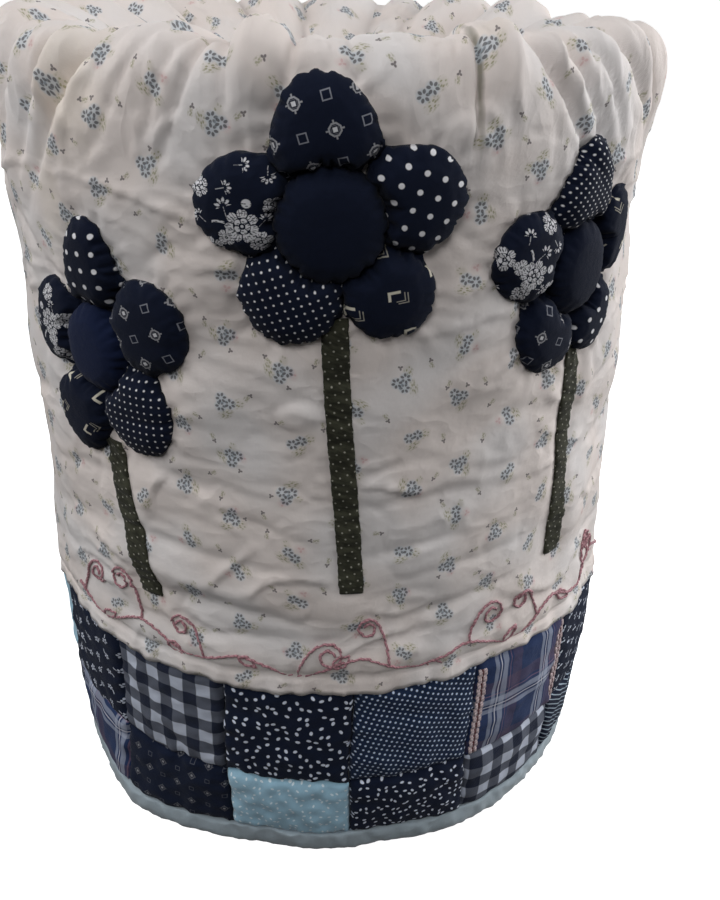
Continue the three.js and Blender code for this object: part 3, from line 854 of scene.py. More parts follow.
def bloom(shader, x, y, reach, petals, turn):
    """A full-blown flower: two rounds of petals about a small heart."""
    u, v = shader.rotated(x, y, turn)
    away = shader.distance(u, v)
    outer = ruff(shader, u, v, reach * 1.42, petals - 1, True) * (away > 0.7 * reach)
    u, v = shader.rotated(u, v, 180 / petals)
    inner = ruff(shader, u, v, reach * 0.66, petals - 3, False) * (away > 0.26 * reach)
    return outer.most(inner).most(away.below(0.12 * reach, 0.2))


def leaf_fan(shader, x, y, turn, size=1.0):
    """Five small leaves that fan out from the end of a stalk."""
    u, v = shader.rotated(x, y, turn)
    leaves = shader.blossom(u, v, 9, 1.7 * size, 0.75 * size, 0.4 * size) * (u > -0.2)
    stalk = shader.line(v + u * 0.1, 0.14) * shader.line(u + 1.6 * size, 1.5 * size)
    return leaves.most(stalk * 0.7)


def blooms(shader, x, y, ground):
    """A cluster of white blooms, with a small flower and fans of leaves round it."""
    x, y = shader.centred(x + 17.0, 34.0), shader.centred(y + 17.0, 34.0)
    mask = None
    for cx, cy, reach, petals, turn in ((1.5, -5.2, 4.3, 8, 10), (6.8, -10.8, 2.8, 6, 40),
                                        (-4.2, -9.6, 2.2, 5, 0), (-13.0, 6.8, 2.6, 7, 0),
                                        (11.5, 1.5, 2.4, 6, 20), (-9.5, -14.5, 3.2, 7, 15)):
        flower = bloom(shader, x - cx, y - cy, reach, petals, turn)
        mask = flower if mask is None else mask.most(flower)
    mask = mask.most(shader.oval(x - 3.2, y - 2.6, 1.6, 1.5, 0.2))
    mask = mask.most(shader.line(y + 4.0 + (x + 6.5) ** 2 * 0.06, 0.4) * shader.line(x + 6.5, 2.2))
    for cx, cy, turn, size in ((-3.8, 7.4, 20, 1.0), (-4.4, 1.2, 110, 1.25), (9.8, 11.2, -80, 1.0),
                               (9.0, -3.2, 60, 0.9), (-13.5, -3.0, 150, 1.0), (2.0, 14.5, 10, 0.9)):
        mask = mask.most(leaf_fan(shader, x - cx, y - cy, turn, size))
    lace = shader.voronoi(x, y, 1.25, 3.0)
    holes = shader.oval(lace[0], lace[1], 0.5, 0.2, 0.4)
    return shader.mix(mask * (1 - holes * 0.8) * 0.85, ground, WHITE_PRINT)


def seeds(shader, x, y, ground, size=5.0, long=1.15, wide=0.78, colour=BAND_WHITE):
    """Scattered white grains that lie every way."""
    dx, dy, chance = shader.voronoi(x, y, size, 0.0, 0.75)
    u, v = shader.turned_by(dx, dy, chance[0] * 6.28)
    return shader.mix(shader.oval(u, v, long, wide), ground, colour)


def small_seeds(shader, x, y, ground):
    """The same grains, smaller and closer."""
    return seeds(shader, x, y, ground, 4.2, 1.0, 0.62)


def leaf_dots(shader, x, y, ground):
    """Pairs of leaves with a dot between them, in half-drop rows."""
    dx, dy, chance = shader.half_drop(x, y, 6.4, 8.4)
    u, v = shader.turned_by(dx, dy, chance[0] * 1.6 - 0.4)
    leaf = shader.oval(abs(u) - 1.1, v, 1.0, 0.6, 0.3)
    dot = shader.distance(u, v - 2.2).below(0.45, 0.3)
    return shader.mix(leaf.most(dot) * 0.8, ground, BAND_WHITE)


def white_sprigs(shader, x, y, ground):
    """Little white blossoms on short stalks."""
    dx, dy, chance = shader.half_drop(x, y, 9.0, 10.0)
    u, v = shader.turned_by(dx, dy, chance[0] * 6.28)
    flower = shader.blossom(u, v, 5, 1.15, 0.7, 0.5)
    stalk = shader.line(v + u * u * 0.06, 0.28) * (u > 1.8) * u.below(4.2, 0.3)
    return shader.mix(flower.most(stalk) * 0.8, ground, BAND_WHITE)


def pinstripe(shader, x, y, ground):
    """Thin pale stripes on the bias."""
    u, v = shader.rotated(x, y, 62)
    stripe = shader.line(shader.centred(u, 2.6), 0.3)
    return shader.mix(stripe * 0.85, ground, (0.45, 0.55, 0.66))


def pin_dots(shader, x, y, ground):
    """Close small pale dots on a brighter blue."""
    ground = shader.mix(0.7, ground, (0.018, 0.036, 0.088))
    return dots(2.76, 0.56, 20, True, (0.66, 0.76, 0.95))(shader, x, y, ground)


def gingham(shader, x, y, ground):
    """Even checks, with the half-tone where a dark and a white thread cross."""
    period = 14.2
    across = shader.line(shader.centred(x, period), period / 4, 0.4)
    down = shader.line(shader.centred(y, period), period / 4, 0.4)
    threads = shader.weave(x, y, 0.9) * 0.12 - 0.06
    dark = 1 - (1 - across * 0.78) * (1 - down * 0.78)
    return shader.mix(dark * 1.03 + threads, (0.60, 0.65, 0.77), (0.006, 0.011, 0.033))


def plaid(shader, x, y, ground):
    """Soft blue plaid with pale and maroon stripes."""
    mixed = shader.mix(0.85, ground, (0.034, 0.058, 0.150))
    weave = shader.weave(x, y, 0.8) * 0.3 + 0.7
    for colour, place, half, share in (
            ((0.13, 0.085, 0.13), 1.0, 3.2, 0.45), ((0.52, 0.57, 0.70), 9.0, 1.6, 0.55),
            ((0.52, 0.57, 0.70), 14.6, 1.1, 0.5), ((0.85, 0.85, 0.92), 12.0, 0.3, 0.8),
            ((0.50, 0.28, 0.34), 5.6, 0.28, 0.35)):
        for value in (x, y * 0.9 + 6.0):
            stripe = shader.line(shader.centred(value + place, 33.0), half, 0.25)
            mixed = shader.mix(stripe * share * weave, mixed, colour)
    return mixed


def light_blue(name, with_seeds):
    """Washed light blue cotton, plain or with white grains."""
    shader = Shader(name)
    x, y = shader.flat()
    ground = tone(shader, (0.37, 0.61, 0.77), x, y, 0.2)
    if with_seeds:
        ground = seeds(shader, x, y, ground, 4.1, 0.85, 0.5, (0.80, 0.92, 1.0))
    return shader.finish(ground, cotton_height(shader, x, y, 2.0))


PATTERNS = {
    "navy_plain": plain, "navy_blue": brighter, "navy_pin_dot": dots(3.0, 0.38),
    "navy_fine_dot": dots(2.27, 0.34), "navy_polka": polka,
    "navy_foulard": foulard, "navy_floral": blooms, "navy_diamond": brackets,
    "gingham": gingham, "seeds": seeds, "small_seeds": small_seeds, "pin_dots": pin_dots,
    "plaid": plaid, "leaf_dots": leaf_dots, "white_sprigs": white_sprigs,
    "small_foulard": small_foulard, "pinstripe": pinstripe,
}


COTTONS = {}


def cloth_material(name, settings):
    """The material of a named cotton, made the first time that it is asked for."""
    if name not in COTTONS:
        if name in ("light_blue", "light_seeds"):
            COTTONS[name] = light_blue(name, name == "light_seeds")
        elif name == "stem_ribbon":
            COTTONS[name] = ribbon_cotton(settings)
        else:
            COTTONS[name] = on_navy(name, settings, PATTERNS[name])
    return COTTONS[name]


def plain_cotton(name, colour, amount=0.16, crumple=1.0):
    """A cotton of one colour."""
    shader = Shader(name)
    x, y = shader.flat()
    return shader.finish(tone(shader, colour, x, y, amount), cotton_height(shader, x, y, crumple))


def ribbon_cotton(settings):
    """Dark olive cotton with rows of pin dots."""
    shader = Shader("stem_ribbon")
    x, y = shader.flat()
    ground = tone(shader, tuple(settings.stem_colour), x, y, 0.25, 5.0)
    # Crosswise streaks of painted shade, where the ribbon rucks.
    painted_ruck_shade = shader.noise(x * 0.4, y + x * 0.3, 2.4, 3.0, 5.5)
    ground = shader.mix(painted_ruck_shade.below(0.5, 0.2) * 0.7, ground, (0.016, 0.016, 0.011))
    printed = dots(3.4, 0.36, 21, False, (0.38, 0.37, 0.31))(shader, x, y, ground)
    return shader.finish(printed, cotton_height(shader, x, y), strength=0.7, sheen=0.08,
                         specular=0.12)


def thread_cotton(name, colour):
    """Stranded embroidery thread, its strands laid round it."""
    shader = Shader(name)
    x, y = shader.flat()
    strand = (x * 5.0 + y * 2.6).do("SINE") * 0.5 + 0.5
    colour = tuple(colour)
    # The grooves between the strands are painted darker: painted shade.
    dark = tuple(c * 0.55 for c in colour)
    return shader.finish(shader.mix(strand, dark, colour), strand, depth=0.25, roughness=0.6,
                         sheen=0.3)


# Colours of the panel's print, and of its least worn cloth.
FRESH_COTTON = (0.80, 0.79, 0.80)
PANEL_INK = (0.088, 0.083, 0.090)
PANEL_WASH = (0.49, 0.58, 0.66)
PANEL_LEAF = (0.31, 0.295, 0.145)
PANEL_BROWN = (0.15, 0.125, 0.13)
PANEL_PINK = (0.62, 0.35, 0.35)


def bunch(shader, x, y, chance, ground):
    """One bunch of the print: small blossoms of separate petals, leaves and a pink bud."""
    x, y = x / 1.15, y / 1.15
    leafy = shader.voronoi(x, y, 0.95, 7.0)
    leaflet = shader.oval(leafy[0], leafy[1], 0.5, 0.26, 0.5) * (leafy[2][0] > 0.38)
    sprays = ((-2.2, -2.9, 2.6, 1.5, 1.0), (4.0, -1.5, 2.0, 1.5, chance[1] > 0.25),
              (-4.2, 2.8, 1.5, 1.3, chance[2] > 0.4))
    for cx, cy, long, wide, shown in sprays:
        spray = shader.oval(x - cx, y - cy, long, wide, 0.8) * shown
        ground = shader.mix(spray * (leaflet * 0.6 + 0.2), ground, PANEL_LEAF)
    blush = shader.oval(x - 0.8, y - 4.2, 2.0, 1.4, 0.8) * 0.22
    pink = shader.blossom(x - 0.8, y - 4.2, 3, 0.7, 0.62, 0.42) * 0.6
    ground = shader.mix(pink.most(blush) * (chance[2] > 0.3), ground, PANEL_PINK)
    tip = shader.blossom(x - 5.2, y - 1.2, 3, 0.5, 0.5, 0.36) * (chance[0] > 0.6)
    ground = shader.mix(tip * 0.85, ground, PANEL_BROWN)
    third = chance[0] > 0.45
    for cx, cy, turn, shown in ((-2.1, 0.4, 0, 1.0), (1.3, -0.3, 33, 1.0), (-0.3, 2.9, 12, third)):
        dx, dy = shader.rotated(x - cx, y - cy, turn)
        wash = shader.distance(dx, dy).below(2.0, 1.1) * shown
        ground = shader.mix(wash * 0.55, ground, PANEL_WASH)
        petals = shader.blossom(dx, dy, 6, 1.3, 0.66, 0.46) * shown
        ground = shader.mix(petals * 0.8, ground, PANEL_INK)
    return ground


def single(shader, x, y, chance, ground):
    """A tiny dark three-leaved sprig with a faint spray of leaves beside it."""
    shown = chance[1] > 0.45
    leafy = shader.voronoi(x, y, 0.95, 12.0)
    spray = shader.oval(x - 2.2, y + 0.4, 1.5, 1.0, 0.7) * shown
    leaflet = shader.oval(leafy[0], leafy[1], 0.48, 0.3, 0.5)
    ground = shader.mix(spray * (leaflet * 0.55 + 0.12), ground, PANEL_LEAF)
    leaves = shader.blossom(x, y, 3, 0.55, 0.55, 0.4) * shown
    return shader.mix(leaves * 0.86, ground, PANEL_BROWN)


StainOrShade = namedtuple("StainOrShade", "x y wide tall colour strength")
# Old marks on the panel, and painted shade in the slot of its join, in millimetres of the flat
# cloth.
STAINS_AND_SLOT_SHADE = (
    StainOrShade(-112, 352, 1.6, 4.0, (0.30, 0.17, 0.11), 0.75),
    StainOrShade(-104, 366, 22, 30, (0.78, 0.68, 0.55), 0.35),
    StainOrShade(-122, 318, 10, 26, (0.76, 0.66, 0.54), 0.3),
    StainOrShade(58, 384, 12, 5, (0.78, 0.70, 0.60), 0.25),
    # Painted shade in the slot of the join.
    StainOrShade(51.7, 374, 0.9, 27, (0.22, 0.21, 0.17), 0.85),
)
PRINT_REPEAT = (23.5, 26.0)
# The length from which, and the length over which, the small folds of the cloth change from level
# to upright, in millimetres.
GATHERED_FROM, GATHERED_OVER = 318.0, 34.0


def sprigged_cotton(settings):
    """The panel's print: bunches in half-drop rows, with single sprigs between them."""
    shader = Shader("sprigged_cotton")
    x, y = shader.flat()
    ground = tone(shader, tuple(settings.panel_colour), x, y, 0.025, 40.0)
    fresh = ((shader.noise(x, y, 42.0, 1.0, 2.2) - 0.42) * 4.0).clamped()
    ground = shader.mix(fresh * 0.6, ground, FRESH_COTTON)
    # The old marks, and painted shade in the slot of the join.
    for mark in STAINS_AND_SLOT_SHADE:
        edge = shader.distance((x - mark.x) / mark.wide, (y - mark.y) / mark.tall)
        edge = edge + shader.noise(x, y, 6.0) * 0.5
        ground = shader.mix(edge.below(1.1, 0.8) * mark.strength, ground, mark.colour)
    wander = shader.noise(x, y, 60.0, 0.0, 3.3) * 9.0
    for shift, draw in (((0.0, 0.0), bunch), ((11.0, 7.0), single), ((16.0, -4.0), single)):
        dx, dy, chance = shader.half_drop(x + wander, y, *PRINT_REPEAT, shift)
        dx = dx + (chance[0] - 0.5) * 4.0
        dy = dy + (chance[1] - 0.5) * 5.0
        u, v = shader.turned_by(dx, dy, chance[2] * 6.28)
        ground = draw(shader, u, v, chance, ground)
    gathered = ((y - GATHERED_FROM) / GATHERED_OVER).clamped()
    upright = abs(shader.noise(x, y * 0.45, 9.0, 1.0, 5.0) - 0.5) * gathered
    level = abs(shader.noise(x * 0.6, y, 12.0, 1.0, 9.0) - 0.5) * (1 - gathered)
    shown = ((shader.noise(x, y, 30.0, 1.0, 6.0) - 0.36) * 5.0).clamped()
    fine = shader.noise(x, y, 2.4, 3.0, 2.6) * 0.22 + shader.weave(x, y) * 0.06
    height = fine - upright * 1.8 - level * shown * 2.4
    return shader.finish(ground, height, strength=0.9, depth=1.0, roughness=0.78, sheen=0.1,
                         specular=0.2)


# ---- Settings --------------------------------------------------------------------------------
def cloth_colour(name, description, default):
    """A colour that a user would change."""
    return FloatVectorProperty(name=name, description=description, subtype="COLOR", size=3, min=0,
                               max=1, default=default)


class JugCoverSettings(bpy.types.PropertyGroup):
    """Sizes and colours of the cover that a user would change."""

    panel_colour: cloth_colour(
        "Panel colour", "Ground of the sprigged cotton", (0.80, 0.725, 0.69))
    navy_colour: cloth_colour("Navy", "Ground of the navy cottons", (0.0052, 0.0088, 0.0235))
    binding_colour: cloth_colour(
        "Binding colour", "Colour of the hem binding", (0.36, 0.43, 0.48))
    stem_colour: cloth_colour(
        "Stem colour", "Colour of the ribbon stems", (0.054, 0.055, 0.037))
    thread_colour: cloth_colour(
        "Thread colour", "Colour of the embroidery thread", (0.50, 0.25, 0.285))
    seam_thread_colour: cloth_colour(
        "Seam thread colour", "Colour of the stitches beside the plaid patch",
        (0.13, 0.03, 0.035))
    row_step: FloatProperty(
        name="Row step", description="Spacing of the panel's rows of points",
        default=1.8 * MM, min=1 * MM, max=10 * MM, unit="LENGTH")
    petal_swell: IntProperty(
        name="Petal frames", description="Frames for which the stuffing swells the petals",
        default=20, min=5, max=40)


# ---- Printed panel ---------------------------------------------------------------------------
def panel_columns():
    """Azimuths of the panel's columns, closer in front and closest at the tuck."""
    spans = ((-95.0, -62.0, 1.0), (-62.0, 17.0, 0.6), (17.0, 22.4, 0.27), (22.4, 62.0, 0.6),
             (62.0, 95.0, 1.1), (95.0, 265.0, 1.85))
    return np.concatenate([np.linspace(a, b, round((b - a) / step), endpoint=False)
                           for a, b, step in spans])


def lap_points(azimuth, height, raised):
    """The frilled edge that hangs over the patchwork."""
    wave = 0.9 * waves(azimuth, 0.0, 12, 22 * MM, 60 * MM, 11)
    flare = 0.6 * waves(azimuth, 0.0, 24, 6 * MM, 20 * MM, 13)
    hang = (TOPSTITCH_HEIGHT - height) / (TOPSTITCH_HEIGHT - LAP_FOOT)
    points = cloth_points(azimuth, length_at(height), raised + flare * MM * hang)
    points[..., 2] += wave * MM * hang
    for rise in LAP_RISES:
        near = bell(turned(azimuth, rise.azimuth), rise.spread)
        points[..., 2] += rise.drop * MM * near * (0.35 + 0.65 * hang)
    return points


def frill_flare(height):
    """How far the frilled edge stands out, more towards its foot."""
    return 1.5 * MM * (TOPSTITCH_HEIGHT - height) / (TOPSTITCH_HEIGHT - LAP_FOOT)


def outer_rings(azimuth, step):
    """Rings of the panel's outside, each with its length: the edge under the lap, the lap down and
    up again, the side, and the flat top from its edge to near its middle."""
    seam = length_at(SEAM_HEIGHT)
    rings = [(float(seam), cloth_points(azimuth, seam, raised, True))
             for raised in (-CLOTH_THICKNESS, 0.5 * MM)]
    lap = np.linspace(TOPSTITCH_HEIGHT, LAP_FOOT, 5)
    for heights, raised in ((lap[1:], 0.2 * MM), (lap[:0:-1], 0.9 * MM)):
        for height in heights:
            ring = lap_points(azimuth, height, raised + frill_flare(height))
            rings.append((float(length_at(height)), ring))
    side = np.arange(length_at(TOPSTITCH_HEIGHT), OUTLINE_LENGTH, step)
    for length in side:
        raised = 0.8 * MM * bell(length - side[0], 4 * MM)
        rings.append((float(length), cloth_points(azimuth, length, raised)))
    ruffle = cloth_points(azimuth, OUTLINE_LENGTH)[:, 2] - TOP_HEIGHT
    for radius in np.linspace(TOP_DISC_RADIUS, 6 * MM, 12):
        flat = around(azimuth, radius, TOP_HEIGHT)
        flat[:, 2] += ruffle * (radius / TOP_DISC_RADIUS) - 3 * MM * bell(radius, 12 * MM)
        rings.append((OUTLINE_LENGTH + TOP_DISC_RADIUS - radius, flat))
    return rings


def inner_rings(azimuth):
    """Rings of the panel's inside, from the middle of the top out and down to the seam."""
    rings = [(OUTLINE_LENGTH, around(azimuth, radius, TOP_HEIGHT - CLOTH_THICKNESS))
             for radius in (20 * MM, 50 * MM)]
    for start, end, step in ((OUTLINE_LENGTH, 330 * MM, 6 * MM),
                             (330 * MM, length_at(SEAM_HEIGHT) + 6 * MM, 12 * MM)):
        rings += [(length, cloth_points(azimuth, length, -CLOTH_THICKNESS, True))
                  for length in np.arange(start, end, -step)]
    return rings


def panel_faces(outer, inner, count):
    """Faces of the closed panel: its outside and its inside, each with a fan in its middle, and
    the strip that joins them at the seam."""
    shift = outer * count
    tips = (outer + inner) * count
    faces = [*quads(outer, count, wrap_columns=True)]
    faces += fan(np.arange(shift - count, shift), tips, 1)
    faces += fan(np.arange(shift, shift + count), tips + 1, -1)
    faces += [*quads(inner, count, wrap_columns=True, start=shift)]
    last = tips - count
    faces += [(last + j, last + (j + 1) % count, (j + 1) % count, j) for j in range(count)]
    return faces


def panel_uv(faces, azimuth, length, radius):
    """Flat places of the corners of the panel's faces."""
    corners = np.concatenate([np.asarray(f) for f in faces])
    sizes = np.array([len(f) for f in faces])
    starts = np.cumsum([0, *sizes[:-1]])
    # A face that crosses the join of the round takes its azimuths from one side of it.
    reference = np.repeat(azimuth[corners[starts]], sizes)
    corner_azimuth = reference + turned(azimuth[corners], reference)
    face_middle = np.repeat(np.add.reduceat(corner_azimuth, starts) / sizes, sizes)
    return span_uv(corner_azimuth, face_middle, length[corners], radius[corners])


def build_panel(settings):
    """The panel as one closed piece, its flat cloth laid out for the print."""
    azimuth = panel_columns()
    outer = outer_rings(azimuth, settings.row_step)
    inner = inner_rings(azimuth)
    lengths, rings = zip(*outer, *inner)
    tips = [around(0.0, 0.0, TOP_HEIGHT - depth) for depth in (4 * MM, CLOTH_THICKNESS)]
    points = np.vstack([*rings, *tips])
    faces = panel_faces(len(outer), len(inner), len(azimuth))
    uv = panel_uv(faces, np.append(np.tile(azimuth, len(rings)), [0, 0]),
                  np.append(np.repeat(lengths, len(azimuth)),
                            [OUTLINE_LENGTH + TOP_DISC_RADIUS] * 2),
                  np.hypot(points[:, 0], points[:, 1] - AXIS_Y))
    return add_piece("printed_panel_cloth", points, faces, sprigged_cotton(settings), uv,
                     "sprigged_cotton", ["printed_panel"])


# Above this length in metres, the folds that are deeper than this in millimetres part the print.
GATHERED_LENGTH, DEEP_FOLD = 0.36, 2.6


def span_uv(azimuth, face_azimuth, length, radius):
    """Flat places of the panel's corners; each span between two valleys keeps its print's width."""
    valleys = np.array(sorted(turned(f.azimuth, 0) for f in RIM_FOLDS if f.depth > DEEP_FOLD))
    middles = (valleys + np.append(valleys[1:], valleys[0] + 360)) / 2
    span = np.searchsorted(valleys, turned(face_azimuth, 0)) - 1
    middle = middles[span]
    keep = np.clip(radius / MEAN_RADIUS, 0.03, 1.0)
    keep = np.where(length < GATHERED_LENGTH, 1.0, keep)
    u = np.radians(middle + turned(azimuth, middle) * keep) * MEAN_RADIUS
    return np.stack([u, length], axis=-1)


class JUGCOVER_OT_panel(bpy.types.Operator):
    """Sew the quilted, gathered panel of sprigged cotton"""

    bl_idname = "jugcover.panel"
    bl_label = "Printed Panel"

    def execute(self, context):
        panel = build_panel(context.scene.jug_cover)
        up_length = OUTLINE_LENGTH + TOP_DISC_RADIUS - float(length_at(SEAM_HEIGHT))
        return {"FINISHED"}


# ---- Patchwork band, lining and binding ------------------------------------------------------
def shell(outer, inner):
    """Closes two matching grids of points, rows by columns, into one thin solid."""
    rows, columns = outer.shape[:2]
    points = np.concatenate([outer.reshape(-1, 3), inner.reshape(-1, 3)])
    shift = rows * columns
    faces = [*quads(rows, columns), *(quads(rows, columns, start=shift)[:, ::-1])]
    grid = np.arange(shift).reshape(rows, columns)
    rim = np.concatenate([grid[0], grid[1:, -1], grid[-1, -2::-1], grid[-2:0:-1, 0]])
    following = np.roll(rim, -1)
    faces += [(int(b), int(a), int(a + shift), int(b + shift)) for a, b in zip(rim, following)]
    return points, faces


def ring_shell(rows):
    """Closes rings of points, each row a closed section line, into one hoop."""
    count = rows[0].shape[0]
    return np.concatenate(rows), quads(len(rows), count, wrap_rows=True, wrap_columns=True)


# Cottons of the patches, from the one at azimuth -92 through the front and the back to it again.
UPPER_ROW = ("light_blue", "white_sprigs", "gingham", "seeds", "pin_dots", "plaid", "leaf_dots",
             "gingham", "seeds", "light_seeds", "plaid", "pinstripe", "white_sprigs", "pin_dots",
             "small_seeds")
LOWER_ROW = ("seeds", "plaid", "small_foulard", "light_seeds", "small_seeds", "gingham",
             "pinstripe", "light_blue", "plaid", "pin_dots", "seeds", "gingham", "light_seeds",
             "small_foulard", "leaf_dots")
FIRST_COLUMN = -4
PATCH_DEPTH = 3.5 * MM
LINING_DEPTH = 3.7 * MM
PATCH_GAP = 0.12 * MM


def seam_azimuth(column, height):
    """The upright seam at the left of a column of patches, which wanders a little."""
    drawn = random.Random(column % PATCHES_AROUND * 7 + 5)
    sway = drawn.uniform(-0.5, 0.5)
    slant = drawn.uniform(-0.5, 0.5)
    share = height / SEAM_HEIGHT
    return FIRST_PATCH_EDGE + PATCH_TURN * column + sway + slant * share + 0.25 * np.sin(share * 9)


def row_seam(column, across):
    """The height of the seam between the rows at a share across a column of patches."""
    drawn = random.Random(column % PATCHES_AROUND * 11 + 3)
    left, right = drawn.uniform(-1.3, 1.3), drawn.uniform(-1.3, 1.3)
    return ROW_SEAM_HEIGHT + (left + (right - left) * across) * MM + 0.5 * MM * np.sin(across * 11)


def patch_grids(column, upper):
    """Outer and inner points of a puffed patch, with its flat places."""
    across = np.linspace(0, 1, 46)[None, :]
    up = np.linspace(0, 1, 46 if upper else 32)[:, None]
    seam = row_seam(column, across)
    top = SEAM_HEIGHT + 1.5 * MM if upper else seam - PATCH_GAP
    foot = seam + PATCH_GAP if upper else BINDING_TOP + 0.2 * MM
    height = foot + (top - foot) * up
    left, right = seam_azimuth(column, height), seam_azimuth(column + 1, height)
    inset = math.degrees(PATCH_GAP / MEAN_RADIUS)
    azimuth = left + inset + (right - left - 2 * inset) * across
    length = length_at(height)
    wide = np.radians(right - left) * MEAN_RADIUS
    side = np.minimum(across, 1 - across) * wide
    below = height - foot
    above = (top - height) + (9 * MM if upper else 0)
    edge = np.minimum(side, np.minimum(below, above))
    softly = edge + 0.4 * MM
    puff = 1.5 * (1 - np.exp(-softly / (7 * MM))) - 2.3 * np.exp(-edge / (1.1 * MM))
    seed = column * 2 + upper
    crosswise = waves(azimuth, 0.0, 22, 6 * MM, 16 * MM, 100 + seed)
    upright = waves(0.0, length, 22, 6 * MM, 16 * MM, 300 + seed) * np.ones_like(azimuth)
    puckers = crosswise * np.exp(-np.minimum(below, above) / (7 * MM))
    puckers = puckers + upright * np.exp(-side / (6 * MM))
    wrinkles = waves(azimuth, length, 30, 8 * MM, 30 * MM, 500 + seed)
    raised = (puff + 0.5 * puckers + 0.42 * wrinkles) * MM
    # The top of the band is tucked flat under the frilled edge of the panel.
    tucked = smooth(height, LAP_FOOT - 3 * MM, LAP_FOOT + 2 * MM) if upper else 0.0
    raised = raised * (1 - tucked) - 0.6 * MM * tucked
    outer = cloth_points(azimuth, length, raised, True)
    inner = cloth_points(azimuth, length, -PATCH_DEPTH, True)
    uv = np.stack([np.radians(azimuth - left[0]) * MEAN_RADIUS,
                   np.broadcast_to(height - np.min(foot), azimuth.shape)], axis=-1)
    return outer, inner, uv


def turn_flat(uv, degrees, shift):
    """Flat places turned, then moved in metres, so that a print lies another way."""
    c, s = math.cos(math.radians(degrees)), math.sin(math.radians(degrees))
    return uv @ np.array([[c, s], [-s, c]]) + np.array(shift)


def build_patches(settings):
    """Two rows of patches, each a piece of its own."""
    drawn = random.Random(77)
    for upper, row in ((True, UPPER_ROW), (False, LOWER_ROW)):
        for i, cloth in enumerate(row):
            outer, inner, uv = patch_grids(FIRST_COLUMN + i, upper)
            points, faces = shell(outer, inner)
            flat = turn_flat(uv.reshape(-1, 2), drawn.uniform(-4, 4),
                             (drawn.uniform(0, 0.05), drawn.uniform(0, 0.05)))
            name = f"patch_{'upper' if upper else 'lower'}_{i + 1:02d}"
            patch = add_piece(name, points, faces, cloth_material(cloth, settings),
                              np.concatenate([flat, flat]), "patchwork_cotton", ["patchwork_band"])


def hoop_columns(step):
    """Azimuths all the way round, about step degrees apart."""
    return np.linspace(-180, 180, round(360 / step), endpoint=False)


def hoop_uv(columns, along):
    """Flat places of a hoop: round it, and along its section."""
    u = np.radians(np.tile(columns, len(along))) * MEAN_RADIUS
    v = np.repeat(along, len(columns))
    return np.stack([u, v], axis=-1)


def build_lining():
    """The plain hoop behind the patches, quilted on its inner side."""
    columns = hoop_columns(2.0)
    low, high = BINDING_TOP + 0.3 * MM, SEAM_HEIGHT
    heights = np.linspace(low, high, 26)
    rows = [cloth_points(columns, length_at(height), -LINING_DEPTH, True) for height in heights]
    for height in heights[::-1]:
        bumps = 0.3 * MM * waves(columns, height, 20, 14 * MM, 40 * MM, 21)
        rows.append(cloth_points(columns, length_at(height), -CLOTH_THICKNESS - bumps, True))
    along = np.append(heights, heights[::-1])
    points, faces = ring_shell(rows)
    material = plain_cotton("lining_cotton", (0.62, 0.60, 0.56))
    lining = add_piece("band_lining", points, faces, material, hoop_uv(columns, along),
                       "patchwork_cotton", ["patchwork_band"])


# The binding's section from its upper outer edge down and round to its inner edge: height,
# and how far it stands off the cloth line, in millimetres.
BINDING_SECTION = (
    (12.3, -0.9), (12.0, 0.3), (11.2, 0.9), (9.4, 1.15), (7.2, 1.2), (4.8, 1.15), (2.6, 0.85),
    (1.0, 0.3), (0.2, -0.6), (0.0, -2.0), (0.0, -3.6), (0.6, -5.0), (2.4, -5.7), (6.0, -5.6),
    (10.0, -5.4), (12.2, -5.1), (12.3, -3.6), (12.3, -2.0),
)
# Height of its row of stitches, and the share of the section's line that is the folded strip.
BINDING_STITCH = 10.4
BINDING_STRIP = 0.62


def build_binding(settings):
    """The bias binding, folded round the hem and stitched near its upper edge."""
    columns = hoop_columns(0.7)
    rows = []
    for height, stand in BINDING_SECTION:
        outer = smooth(stand, -2.0, 0.0)
        rise = height * MM
        top_wave = 0.8 * MM * waves(columns, 0.0, 16, 12 * MM, 60 * MM, 31) * (height / 12)
        puckers = 0.55 * waves(columns, rise, 36, 5 * MM, 26 * MM, 33) * outer
        stitch = -0.55 * bell(height - BINDING_STITCH, 0.9) * outer
        row = cloth_points(columns, length_at(rise), (stand + puckers + stitch) * MM, True)
        row[:, 2] = np.maximum(rise + top_wave * outer, 0.0)
        rows.append(row)
    steps = [math.dist(a, b) * MM for a, b in itertools.pairwise(BINDING_SECTION)]
    along = np.cumsum([0.0, *steps])
    points, faces = ring_shell(rows[::-1])
    material = plain_cotton("binding_cotton", tuple(settings.binding_colour), 0.3, 1.6)
    return add_piece("hem_binding_cloth", points, faces, material,
                     hoop_uv(columns, along[::-1]), "binding_cotton", ["hem_binding"])


class JUGCOVER_OT_band(bpy.types.Operator):
    """Sew the two rows of patches, their lining and the hem binding"""

    bl_idname = "jugcover.band"
    bl_label = "Patchwork Band"

    def execute(self, context):
        settings = context.scene.jug_cover
        build_lining()
        build_patches(settings)
        binding = build_binding(settings)
        section = sum(itertools.starmap(math.dist, itertools.pairwise(BINDING_SECTION))) * MM
        section * BINDING_STRIP
        return {"FINISHED"}


# ---- Stuffed flowers -------------------------------------------------------------------------
Stuffing = namedtuple("Stuffing", "cloth turn shift_x shift_y")
